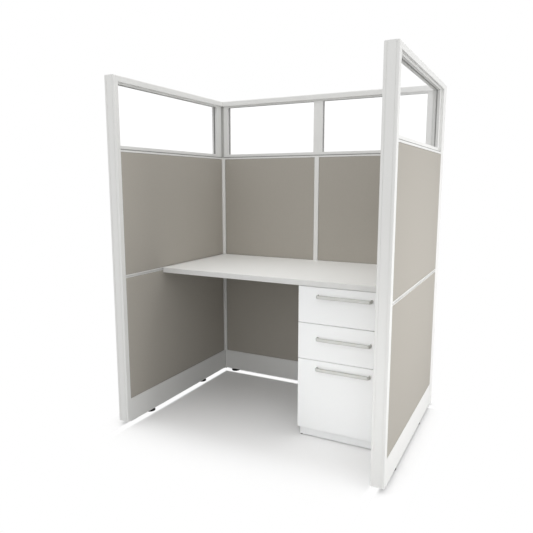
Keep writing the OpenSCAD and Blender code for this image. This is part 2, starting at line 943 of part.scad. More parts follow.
// Member on the case: its flanges end in lips that hold the outer row
module cabinet_section() {
    reach = slide_w * 0.62;
    difference() {
        up_and_down() {
            square([slide_wall, slide_h / 2]);
            translate([0, slide_h / 2 - slide_wall]) square([reach, slide_wall]);
            translate([reach - slide_wall, slide_h / 2 - slide_wall - lip_drop])
                square([slide_wall, slide_wall + lip_drop]);
        }
        up_and_down() translate(outer_row) circle(race_r);
    }
}

// Member between the two rows: a race on each side of its flanges
module middle_section() {
    x0 = slide_wall + shy;
    reach = slide_w * 0.82;
    difference() {
        up_and_down() {
            translate([x0, 0]) square([slide_wall, mid_h / 2]);
            translate([x0, mid_h / 2 - slide_wall]) square([reach - x0, slide_wall]);
            translate([reach - slide_wall, mid_h / 2 - slide_wall - lip_drop])
                square([slide_wall, slide_wall + lip_drop]);
        }
        up_and_down() {
            translate(outer_row) circle(race_r);
            translate(inner_row) circle(race_r);
        }
    }
}

// Member on the drawer box: its flanges reach back under the inner row
module drawer_section() {
    x0 = slide_w * 0.31;
    difference() {
        up_and_down() {
            translate([slide_w - slide_wall, 0]) square([slide_wall, inner_h / 2]);
            translate([x0, inner_h / 2 - slide_wall]) square([slide_w - x0, slide_wall]);
            translate([x0, inner_h / 2 - slide_wall]) square([slide_wall, slide_wall + lip_drop]);
        }
        up_and_down() translate(inner_row) circle(race_r);
    }
}

// Strip that holds one row of balls apart
module ball_cage() {
    half = ball_r * 0.65;
    translate([-half, 0, -cage_t / 2]) cube([2 * half, cage_l, cage_t]);
    for (i = [0 : ball_count - 1]) translate([0, (i + 0.5) * ball_pitch, 0]) sphere(ball_r);
}

// Cages of the two rows above or below the middle: the outer one rides at the rear of the
// middle member, the inner one at its front, so both stay between their members
module ball_cages() {
    for (s = [-1, 1]) {
        translate([outer_row[0], slide_l - cage_l, s * outer_row[1]]) ball_cage();
        translate([inner_row[0], 0, s * inner_row[1]]) ball_cage();
    }
}

// Places a slide piece on the left side of a drawer at height z, and its twin on the right
module both_slides(z) {
    both_case_sides() translate([case_sheet, slide_y, z]) children();
}

module cabinet_members() {
    color("#7f8386") for (z = slide_zs) both_slides(z) along_y(slide_l) cabinet_section();
}

module ball_members(front_z) {
    both_slides(front_z + slide_up) {
        color(steel_grey) along_y(slide_l) middle_section();
        color("#c9ccce") ball_cages();
    }
}

module drawer_members(front_z) {
    color("#9a9da0") both_slides(front_z + slide_up) along_y(slide_l) drawer_section();
}

module drawer_front(z0, z1) {
    color("#f0f1f2") translate([ped_x0, ped_y0, z0])
        soft_board(ped_w, front_t, z1 - z0, front_r);
}

// Places a box piece by the lower left corner behind a drawer's front
module in_drawer(front_z) {
    translate([ped_x0 + case_sheet + slide_w, ped_y0 + front_t, front_z + box_rise])
        children();
}

// Folded steel tray, open at the top
module tray(h) {
    s = box_sheet;
    difference() {
        cube([box_w, box_l, h + s]);
        translate([s, s, s]) cube([box_w - 2 * s, box_l - 2 * s, h + over]);
    }
}

// Box drawer: a tray whose rim is doubled by a hem folded inwards
module box_drawer(front_z) {
    s = box_sheet;
    color("#d8dadb") in_drawer(front_z) {
        tray(box_h);
        translate([0, 0, box_h + s - hem_h]) difference() {
            translate([s, s, 0]) cube([box_w - 2 * s, box_l - 2 * s, hem_h]);
            translate([2 * s, 2 * s, -over])
                cube([box_w - 4 * s, box_l - 4 * s, hem_h + 2 * over]);
        }
    }
}

// File drawer: a tall tray with its side walls folded over into rails for hanging files
module file_drawer() {
    s = box_sheet;
    color("#d8dadb") in_drawer(file_z) {
        tray(file_h);
        for (x = [s, box_w - s - file_rail_w])
            translate([x, s, file_h]) cube([file_rail_w, box_l - 2 * s, s]);
        for (x = [file_rail_w, box_w - s - file_rail_w])
            translate([x, s, file_h + s - file_rail_h])
                cube([s, box_l - 2 * s, file_rail_h]);
    }
}

// Half of a bar pull: the bar turns back to the front through a bend
module half_pull() {
    x = pull_l / 2;
    rise = -pull_bar_h / 2;
    translate([x - pull_bend, pull_bend - pull_out, 0]) rotate([0, 0, -90])
        rotate_extrude(angle = 90) translate([pull_bend - pull_bar_t, rise])
            soft_bar(pull_bar_t, pull_bar_h, pull_r);
    translate([x - pull_bar_t, pull_bend - pull_out, rise]) along_y(pull_out - pull_bend)
        soft_bar(pull_bar_t, pull_bar_h, pull_r);
    translate([0, -pull_out, rise]) along_x(x - pull_bend)
        soft_bar(pull_bar_t, pull_bar_h, pull_r);
}

module bar_pull(z) {
    color("#cfd0cf") translate([ped_x0 + ped_w / 2, ped_y0, z]) {
        half_pull();
        mirror([1, 0, 0]) half_pull();
    }
}

on_wing() panel_frame(wing_l, wing_feet, false);  // left_wing_frame
on_right() on_wing() panel_frame(wing_l, wing_feet, false);  // right_wing_frame
on_back() panel_frame(bay_w, back_feet, true);  // back_left_frame
on_right() on_back() panel_frame(bay_w, back_feet, false);  // back_right_frame
on_wing() face_tiles(wing_l);  // left_wing_inner_tiles
on_wing() on_outer_face() face_tiles(wing_l);  // left_wing_outer_tiles
on_right() on_wing() face_tiles(wing_l);  // right_wing_inner_tiles
on_right() on_wing() on_outer_face() face_tiles(wing_l);  // right_wing_outer_tiles
on_back() face_tiles(bay_w);  // back_left_inner_tiles
on_back() on_outer_face() face_tiles(bay_w);  // back_left_outer_tiles
on_right() on_back() face_tiles(bay_w);  // back_right_inner_tiles
on_right() on_back() on_outer_face() face_tiles(bay_w);  // back_right_outer_tiles
wing_base_covers();
back_base_covers();
split_rails();
ledges();
both_halves() on_wing() glass_frame(wing_l, wing_stile_w, stile_w);  // wing_glass_frames
both_halves() on_back() glass_frame(bay_w, back_stile_w, seam_stile_w);  // back_glass_frames
both_halves() on_wing() glass_pane(wing_l, wing_stile_w, stile_w);  // wing_glass
both_halves() on_back() glass_pane(bay_w, back_stile_w, seam_stile_w);  // back_glass
glazing_gaskets();
top_caps();
front_end_posts();
post_caps();
corner_posts();
corner_covers();
seam_strips();
on_wing() glide(wing_feet[1]);  // left_wing_front_glide
on_wing() glide(wing_feet[0]);  // left_wing_rear_glide
on_right() on_wing() glide(wing_feet[1]);  // right_wing_front_glide
on_right() on_wing() glide(wing_feet[0]);  // right_wing_rear_glide
on_back() glide(back_feet[0]);  // back_left_corner_glide
on_back() glide(back_feet[1]);  // back_left_seam_glide
on_right() on_back() glide(back_feet[0]);  // back_right_corner_glide
on_right() on_back() glide(back_feet[1]);  // back_right_seam_glide
worksurface();
edge_bands();
side_bracket();
cantilever_bracket();
pedestal_sides();
pedestal_back();
pedestal_top_bottom();
plinth();
plinth_glides();
cabinet_members();
drawer_front(upper_z, upper_top);  // upper_front
box_drawer(upper_z);  // upper_box
bar_pull(upper_top - upper_pull_drop);  // upper_pull
drawer_members(upper_z);  // upper_drawer_members
ball_members(upper_z);  // upper_ball_members
drawer_front(middle_z, middle_top);  // middle_front
box_drawer(middle_z);  // middle_box
bar_pull(middle_top - middle_pull_drop);  // middle_pull
drawer_members(middle_z);  // middle_drawer_members
ball_members(middle_z);  // middle_ball_members
drawer_front(file_z, file_top);  // file_front
file_drawer();  // file_box
bar_pull(file_top - file_pull_drop);  // file_pull
drawer_members(file_z);  // file_drawer_members
ball_members(file_z);  // file_ball_members
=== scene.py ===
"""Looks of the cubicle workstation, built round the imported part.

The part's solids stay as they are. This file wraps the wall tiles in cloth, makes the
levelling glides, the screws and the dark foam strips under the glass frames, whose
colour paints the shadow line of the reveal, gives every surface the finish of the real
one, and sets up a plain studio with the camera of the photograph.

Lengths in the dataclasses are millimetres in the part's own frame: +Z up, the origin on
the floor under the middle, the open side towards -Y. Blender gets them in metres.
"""

import json
import logging
import math
from collections.abc import Callable, Iterator, Sequence
from contextlib import contextmanager
from dataclasses import dataclass, field
from enum import Enum
from typing import Any

import bmesh
import bpy
from mathutils import Matrix, Vector


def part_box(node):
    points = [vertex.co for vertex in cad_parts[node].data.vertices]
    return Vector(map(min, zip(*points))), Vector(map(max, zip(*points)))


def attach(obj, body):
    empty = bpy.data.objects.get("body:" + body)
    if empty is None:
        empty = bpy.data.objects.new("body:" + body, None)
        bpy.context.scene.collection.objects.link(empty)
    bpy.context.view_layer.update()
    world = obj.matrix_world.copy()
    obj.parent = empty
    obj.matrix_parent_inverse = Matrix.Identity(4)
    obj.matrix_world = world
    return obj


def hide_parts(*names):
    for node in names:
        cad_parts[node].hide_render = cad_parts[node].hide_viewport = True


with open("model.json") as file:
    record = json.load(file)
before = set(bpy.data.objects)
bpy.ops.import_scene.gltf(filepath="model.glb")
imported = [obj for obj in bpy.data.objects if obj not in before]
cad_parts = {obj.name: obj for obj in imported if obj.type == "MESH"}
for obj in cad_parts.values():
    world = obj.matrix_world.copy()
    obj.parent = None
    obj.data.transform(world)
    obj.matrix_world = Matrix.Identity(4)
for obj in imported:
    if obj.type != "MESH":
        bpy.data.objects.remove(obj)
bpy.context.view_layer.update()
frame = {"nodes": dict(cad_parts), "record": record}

log = logging.getLogger("workstation")

Tree = bpy.types.NodeTree
Socket = bpy.types.NodeSocket

MM = 0.001
MAIN_BODY = "workstation"
FACES = ("inner", "outer")
# Distances from the middle to the mid-planes of the wings and of the back wall
WING_MIDDLE, BACK_MIDDLE = 638.5, 457
# A face looks a given way when the cosine between its normal and that way is above this
FACING = 0.9
# Points this close together, in metres, lie in one place
TOUCHING = 1e-6
# Numbers of a Mix node's two inputs and its output, for values and for colours
VALUE_A, VALUE_B, VALUE_MIXED = 2, 3, 0
COLOUR_A, COLOUR_B, COLOUR_MIXED = 6, 7, 2


def metres(*lengths: float) -> Vector:
    """Turns lengths in millimetres to a vector in metres."""
    return Vector([length * MM for length in lengths])


def linear(colour: str) -> tuple[float, float, float, float]:
    """Turns an sRGB colour to the linear values that Blender works in.

    Args:
        colour: The colour as a hex string, such as "#c5c0b6".

    Returns:
        Red, green, blue and an alpha of 1.
    """
    parts = (int(colour[i : i + 2], 16) / 255 for i in (1, 3, 5))
    red, green, blue = (
        part / 12.92 if part <= 0.04045 else ((part + 0.055) / 1.055) ** 2.4
        for part in parts
    )
    return red, green, blue, 1.0


def add_node(
    tree: Tree,
    kind: str,
    inputs: dict[str | int, Any] | None = None,
    **settings: Any,
) -> bpy.types.Node:
    """Adds a node to the tree of a material or of the world.

    Args:
        tree: The node tree.
        kind: Blender's name for the node.
        inputs: For an input's name or number, a value or the socket that feeds it.
        settings: The node's own properties, such as operation.

    Returns:
        The new node.
    """
    node = tree.nodes.new(kind)
    for name, value in settings.items():
        setattr(node, name, value)
    for key, value in (inputs or {}).items():
        if isinstance(value, Socket):
            tree.links.new(value, node.inputs[key])
        else:
            node.inputs[key].default_value = value
    return node


@dataclass(frozen=True)
class Finish:
    """What a surface is made of and how it was worked.

    Attributes:
        name: The common name of the stuff and its process, which names the material.
        colour: Its colour where it is lightest, as sRGB hex.
        roughness: How far it scatters a reflection, from 0 to 1.
        tone: How much darker the pattern's dark places are, as a share.
        drift: How far the roughness goes up and down with the pattern.
        relief_mm: Height of the surface's relief.
    """

    name: str
    colour: str
    roughness: float
    tone: float = 0.03
    drift: float = 0.05
    relief_mm: float = 0.02

    def material(self) -> bpy.types.Material:
        """Makes the material once, and shares it after that.

        Returns:
            This finish's material.
        """
        known = bpy.data.materials.get(self.name)
        if known:
            return known
        made = bpy.data.materials.new(self.name)
        made.use_nodes = True
        made.diffuse_color = linear(self.colour)
        tree = made.node_tree
        tree.nodes.clear()
        place = add_node(tree, "ShaderNodeTexCoord").outputs["Object"]
        shade, height = self.pattern(tree, place)
        light = linear(self.colour)
        dark = (*(part * (1 - self.tone) for part in light[:3]), 1.0)
        colour = add_node(
            tree,
            "ShaderNodeMix",
            {0: shade, COLOUR_A: dark, COLOUR_B: light},
            data_type="RGBA",
        )
        gloss = add_node(
            tree,
            "ShaderNodeMapRange",
            {
                "Value": shade,
                "To Min": self.roughness + self.drift,
                "To Max": self.roughness - self.drift,
            },
        )
        bump = add_node(
            tree,
            "ShaderNodeBump",
            {"Height": height, "Strength": 1.0, "Distance": self.relief_mm * MM},
        )
        shader = add_node(
            tree,
            "ShaderNodeBsdfPrincipled",
            {
                "Base Color": colour.outputs[COLOUR_MIXED],
                "Roughness": gloss.outputs["Result"],
                "Normal": bump.outputs["Normal"],
                **self.constants(),
            },
        )
        surface = self.surface(tree, shader.outputs["BSDF"])
        add_node(tree, "ShaderNodeOutputMaterial", {"Surface": surface})
        return made

    def pattern(self, tree: Tree, place: Socket) -> tuple[Socket, Socket]:
        """Draws the surface's pattern.

        Args:
            tree: The material's node tree.
            place: Object coordinates, in metres.

        Returns:
            The shade from 0, dark and dull, to 1, light and glossy, and the height
            of the relief from 0 to 1.
        """
        raise NotImplementedError

    def constants(self) -> dict[str, float]:
        """Returns what is the same all over, for the shader's own sockets."""
        return {}

    def surface(self, tree: Tree, shader: Socket) -> Socket:
        """Returns what the material shows, which is mostly the shader as it is."""
        return shader


@dataclass(frozen=True)
class PowderCoat(Finish):
    """Polyester powder coat, baked on steel or aluminium.

    It keeps a faint orange peel from flowing out in the oven, so a highlight breaks up
    a little, and the booth leaves clouds in its gloss.

    Attributes:
        peel_mm: Width of one wave of the orange peel.
        cloud_mm: Width of a cloud.
    """

    peel_mm: float = 1.6
    cloud_mm: float = 120

    def pattern(self, tree: Tree, place: Socket) -> tuple[Socket, Socket]:
        """Draws the clouds and the orange peel.

        Args:
            tree: The material's node tree.
            place: Object coordinates, in metres.

        Returns:
            The shade, from the clouds, and the height of the peel.
        """
        clouds, peel = (
            add_node(
                tree,
                "ShaderNodeTexNoise",
                {"Vector": place, "Scale": 1 / (size * MM), "Detail": detail},
            ).outputs["Fac"]
            for size, detail in ((self.cloud_mm, 3.0), (self.peel_mm, 1.0))
        )
        return clouds, peel


@dataclass(frozen=True)
class MouldedPlastic(Finish):
    """Injection-moulded or extruded plastic, such as ABS, nylon or silicone rubber.

    The spark-eroded mould leaves a fine grain of small pits, and the flow of the melt
    leaves long faint streaks. The cut cells of foam look like such pits.

    Attributes:
        grain_mm: Width of a pit.
        streak_mm: Width of a streak.
        swirl: How far the flow bends the streaks.
    """

    grain_mm: float = 0.5
    streak_mm: float = 25
    swirl: float = 1.5

    def pattern(self, tree: Tree, place: Socket) -> tuple[Socket, Socket]:
        """Draws the flow streaks and the mould's grain.

        Args:
            tree: The material's node tree.
            place: Object coordinates, in metres.

        Returns:
            The shade, from the streaks, and the height of the grain.
        """
        streaks = add_node(
            tree,
            "ShaderNodeTexNoise",
            {
                "Vector": place,
                "Scale": 1 / (self.streak_mm * MM),
                "Distortion": self.swirl,
            },
        )
        grain = add_node(
            tree,
            "ShaderNodeTexVoronoi",
            {"Vector": place, "Scale": 1 / (self.grain_mm * MM)},
        )
        return streaks.outputs["Fac"], grain.outputs["Distance"]


@dataclass(frozen=True)
class Laminate(Finish):
    """Decor paper pressed with melamine resin on board.

    The press plate gives it a matt, slightly pebbled face, and the plain white paper
    shows a very faint fleck.

    Attributes:
        pebble_mm: Width of one pebble of the press plate.
        fleck_mm: Width of a fleck in the paper.
    """

    pebble_mm: float = 0.9
    fleck_mm: float = 4

    def pattern(self, tree: Tree, place: Socket) -> tuple[Socket, Socket]:
        """Draws the fleck and the pebbles.

        Args:
            tree: The material's node tree.
            place: Object coordinates, in metres.

        Returns:
            The shade, from the fleck, and the height of the pebbles.
        """
        fleck = add_node(
            tree,
            "ShaderNodeTexNoise",
            {"Vector": place, "Scale": 1 / (self.fleck_mm * MM), "Detail": 4.0},
        )
        pebbles = add_node(
            tree,
            "ShaderNodeTexVoronoi",
            {"Vector": place, "Scale": 1 / (self.pebble_mm * MM)},
            feature="SMOOTH_F1",
        )
        return fleck.outputs["Fac"], pebbles.outputs["Distance"]


@dataclass(frozen=True)
class ZincPlate(Finish):
    """Cold-rolled steel, zinc plated and blue passivated.

    Bare metal with a faint rolled grain along Y and cloudy, slightly duller blotches.

    Attributes:
        blotch_mm: Width of a blotch.
        grain_mm: Width of a line of the rolled grain.
        grain_run: How many times as long as wide such a line is.
    """

    blotch_mm: float = 14
    grain_mm: float = 0.4
    grain_run: float = 20

    def pattern(self, tree: Tree, place: Socket) -> tuple[Socket, Socket]:
        """Draws the blotches and the grain.

        Args:
            tree: The material's node tree.
            place: Object coordinates, in metres.

        Returns:
            The shade, from the blotches, and the height of the grain.
        """
        blotches = add_node(
            tree,
            "ShaderNodeTexNoise",
            {"Vector": place, "Scale": 1 / (self.blotch_mm * MM), "Detail": 2.0},
        )
        stretch = (1.0, 1 / self.grain_run, 1.0)
        along = add_node(
            tree, "ShaderNodeMapping", {"Vector": place, "Scale": stretch}
        )
        grain = add_node(
            tree,
            "ShaderNodeTexNoise",
            {
                "Vector": along.outputs["Vector"],
                "Scale": 1 / (self.grain_mm * MM),
                "Detail": 2.0,
            },
        )
        return blotches.outputs["Fac"], grain.outputs["Fac"]

    def constants(self) -> dict[str, float]:
        """Returns full metal."""
        return {"Metallic": 1.0}


@dataclass(frozen=True)
class SatinAnodised(Finish):
    """Aluminium bar, brushed along X and anodised silver.

    The brushing leaves fine lines along the bar, so its highlight runs out along them.

    Attributes:
        line_mm: Width of one brushed line. Real ones are under 0.1 mm; these are as
            coarse as they need to be to show.
        line_run: How many times as long as wide a line is.
    """

    line_mm: float = 0.5
    line_run: float = 40

    def pattern(self, tree: Tree, place: Socket) -> tuple[Socket, Socket]:
        """Draws the brushed lines.

        Args:
            tree: The material's node tree.
            place: Object coordinates, in metres.

        Returns:
            The lines, both as the shade and as the height.
        """
        stretch = (1 / self.line_run, 1.0, 1.0)
        along = add_node(
            tree, "ShaderNodeMapping", {"Vector": place, "Scale": stretch}
        )
        lines = add_node(
            tree,
            "ShaderNodeTexNoise",
            {
                "Vector": along.outputs["Vector"],
                "Scale": 1 / (self.line_mm * MM),
                "Detail": 3.0,
            },
        )
        return lines.outputs["Fac"], lines.outputs["Fac"]

    def constants(self) -> dict[str, float]:
        """Returns full metal."""
        return {"Metallic": 1.0}


@dataclass(frozen=True)
class FloatGlass(Finish):
    """Clear toughened float glass with an anti-reflective coat.

    It shows almost nothing: a faint clean reflection, and the faintest film of
    handling.

    Attributes:
        film_mm: Width of a cloud of the film.
        wave_mm: Length of the slow wave that the tempering rollers leave.
        in_lamplight: Colour to which one face of a pane filters lamp light and light
            that a surface scatters. It is darker than real glass, to match the shading
            of the photograph.
    """

    film_mm: float = 60
    wave_mm: float = 300
    in_lamplight: str = "#e5e5e5"

    def pattern(self, tree: Tree, place: Socket) -> tuple[Socket, Socket]:
        """Draws the film and the slow wave of the tempering rollers.

        Args:
            tree: The material's node tree.
            place: Object coordinates, in metres.

        Returns:
            The shade, from the film, and the height of the wave.
        """
        film, waves = (
            add_node(
                tree,
                "ShaderNodeTexNoise",
                {"Vector": place, "Scale": 1 / (size * MM), "Detail": detail},
            ).outputs["Fac"]
            for size, detail in ((self.film_mm, 3.0), (self.wave_mm, 0.0))
        )
        return film, waves

    def constants(self) -> dict[str, float]:
        """Returns clear glass with the faint reflection of coated glass."""
        return {"Transmission Weight": 1.0, "IOR": 1.1}

    def surface(self, tree: Tree, shader: Socket) -> Socket:
        """Lets light shine straight through the panes.

        Args:
            tree: The material's node tree.
            shader: The glass as the eye sees it.

        Returns:
            The shader for what is seen, and a plain filter for the light.
        """
        path = add_node(tree, "ShaderNodeLightPath").outputs
        light = add_node(
            tree,
            "ShaderNodeMath",
            {0: path["Is Shadow Ray"], 1: path["Is Diffuse Ray"]},
            operation="ADD",
            use_clamp=True,
        ).outputs["Value"]
        clear = add_node(
            tree, "ShaderNodeBsdfTransparent", {"Color": linear(self.in_lamplight)}
        )
        return add_node(
            tree,
            "ShaderNodeMixShader",
            {0: light, 1: shader, 2: clear.outputs["BSDF"]},
        ).outputs["Shader"]


@dataclass(frozen=True)
class PanelCloth(Finish):
    """Woven polyester panel cloth, stretched over a rigid board.

    A plain weave of crepe yarns in two close shades: matt all over, with a soft sheen
    where it turns away, and each yarn a little lighter or darker along its length.

    Attributes:
        thread_mm: Distance from one yarn to the next.
        slub_mm: Length over which a yarn keeps its shade.
        heather_mm: Width of the soft heathering that still shows from across the room.
        heather_share: Share of the heathering in the shade. The rest is the yarns'.
    """

    thread_mm: float = 1.3
    slub_mm: float = 12
    heather_mm: float = 9
    heather_share: float = 0.4

    def pattern(self, tree: Tree, place: Socket) -> tuple[Socket, Socket]:
        """Draws the weave over and under, the yarns' shades and the heathering.

        The walls face X or Y, so x + y runs along either kind of wall.

        Args:
            tree: The material's node tree.
            place: Object coordinates, in metres.

        Returns:
            The shade of the yarns and the heathering, and the height of the weave.
        """
        axes = add_node(tree, "ShaderNodeSeparateXYZ", {"Vector": place}).outputs
        run = add_node(
            tree, "ShaderNodeMath", {0: axes["X"], 1: axes["Y"]}, operation="ADD"
        ).outputs["Value"]
        up = axes["Z"]
        turn = math.pi / (self.thread_mm * MM)
        waves = []
        for way in (run, up):
            angle = add_node(
                tree, "ShaderNodeMath", {0: way, 1: turn}, operation="MULTIPLY"
            ).outputs["Value"]
            wave = add_node(tree, "ShaderNodeMath", {0: angle}, operation="SINE")
            waves.append(wave.outputs["Value"])
        weave = add_node(
            tree, "ShaderNodeMath", {0: waves[0], 1: waves[1]}, operation="MULTIPLY"
        ).outputs["Value"]
        # The weave goes from -1 to 1, and a height from 0 to 1
        over = add_node(
            tree, "ShaderNodeMath", {0: weave, 1: 0.5, 2: 0.5}, operation="MULTIPLY_ADD"
        ).outputs["Value"]
        across, along = 1 / (self.thread_mm * MM), 1 / (self.slub_mm * MM)
        yarns = []
        for run_scale, up_scale in ((across, along), (along, across)):
            sides = [
                add_node(
                    tree, "ShaderNodeMath", {0: way, 1: scale}, operation="MULTIPLY"
                ).outputs["Value"]
                for way, scale in ((run, run_scale), (up, up_scale))
            ]
            spot = add_node(
                tree, "ShaderNodeCombineXYZ", {"X": sides[0], "Y": sides[1]}
            )
            yarns.append(
                add_node(
                    tree,
                    "ShaderNodeTexNoise",
                    {"Vector": spot.outputs["Vector"], "Scale": 1.0, "Detail": 1.0},
                ).outputs["Fac"]
            )
        yarn = add_node(
            tree, "ShaderNodeMix", {0: over, VALUE_A: yarns[0], VALUE_B: yarns[1]}
        ).outputs[VALUE_MIXED]
        heather = add_node(
            tree,
            "ShaderNodeTexNoise",
            {"Vector": place, "Scale": 1 / (self.heather_mm * MM), "Detail": 4.0},
        ).outputs["Fac"]
        shade = add_node(
            tree,
            "ShaderNodeMix",
            {0: self.heather_share, VALUE_A: yarn, VALUE_B: heather},
        )
        return shade.outputs[VALUE_MIXED], over

    def constants(self) -> dict[str, float]:
        """Returns the soft sheen of the yarns' loose fibres."""
        return {"Sheen Weight": 0.12, "Sheen Roughness": 0.6, "Specular IOR Level": 0.2}


class Surface(Enum):
    """The finishes of the workstation, by the record's slot where it has one."""

    TRIM = PowderCoat("satin_white_powder_coat", "#ebebe9", roughness=0.42)
    CORNER = PowderCoat("satin_grey_powder_coat", "#bdbdba", roughness=0.45)
    FRAME = PowderCoat("graphite_powder_coat", "#8e9193", roughness=0.5)
    BRACKET = PowderCoat("silver_grey_powder_coat", "#9a9c9d", roughness=0.48)
    CASE = PowderCoat(
        "white_powder_coated_sheet", "#e6e6e4", roughness=0.38, peel_mm=1.2
    )
    BOX = PowderCoat(
        "light_grey_powder_coated_sheet", "#d4d6d7", roughness=0.4, peel_mm=1.2
    )
    CLOTH = PanelCloth(
        "woven_polyester_panel_cloth",
        "#b4afa6",
        roughness=0.92,
        tone=0.14,
        drift=0.03,
        relief_mm=0.12,
    )
    GLASS = FloatGlass(
        "clear_float_glass",
        "#f8f8f8",
        roughness=0.004,
        tone=0.0,
        drift=0.004,
        relief_mm=0.002,
    )
    # Dark grey foam of the strips under the glass frames, whose colour paints the
    # reveal's shadow line
    FOAM = MouldedPlastic("grey_foam_painted_shadow", "#969694", roughness=0.9, tone=0.35)
    RUBBER = MouldedPlastic("grey_silicone_rubber", "#b8b8b6", roughness=0.7, tone=0.1)
    CAP = MouldedPlastic("moulded_white_abs", "#ebebe9", roughness=0.45)
    NYLON = MouldedPlastic(
        "glass_filled_black_nylon", "#1d1d1e", roughness=0.5, tone=0.25
    )
    STUD = MouldedPlastic("black_polythene", "#232324", roughness=0.55, tone=0.2)
    BAND = MouldedPlastic("white_abs_edge_band", "#e2e2e0", roughness=0.4)
    WORKTOP = Laminate("matt_white_laminate", "#fafaf8", roughness=0.46, tone=0.02)
    FRONT = Laminate("satin_white_laminate", "#f9fafa", roughness=0.4, tone=0.015)
    PLINTH = Laminate("white_melamine_board", "#f3f4f4", roughness=0.5, tone=0.02)
    PULL = SatinAnodised(
        "brushed_anodised_aluminium",
        "#d2d2cf",
        roughness=0.7,
        tone=0.05,
        relief_mm=0.01,
    )
    ZINC = ZincPlate(
        "zinc_plated_steel",
        "#b9bdc0",
        roughness=0.36,
        tone=0.12,
        drift=0.06,
        relief_mm=0.01,
    )
    STEEL_BALL = ZincPlate(
        "polished_chrome_steel",
        "#c9cbcd",
        roughness=0.16,
        tone=0.05,
        drift=0.03,
        relief_mm=0.002,
    )


SLOT_SURFACES = {
    "frame_steel": Surface.FRAME,
    "tile_fabric": Surface.CLOTH,
    "trim_paint": Surface.TRIM,
    "corner_paint": Surface.CORNER,
    "clear_glass": Surface.GLASS,
    "glazing_rubber": Surface.RUBBER,
    "cap_plastic": Surface.CAP,
    "glide_black": Surface.NYLON,
    "worktop_laminate": Surface.WORKTOP,
    "edge_band": Surface.BAND,
    "bracket_paint": Surface.BRACKET,
    "case_paint": Surface.CASE,
    "plinth_board": Surface.PLINTH,
    "stud_plastic": Surface.STUD,
    "front_laminate": Surface.FRONT,
    "box_paint": Surface.BOX,
    "pull_metal": Surface.PULL,
    "slide_zinc": Surface.ZINC,
    "slide_balls": Surface.STEEL_BALL,
}


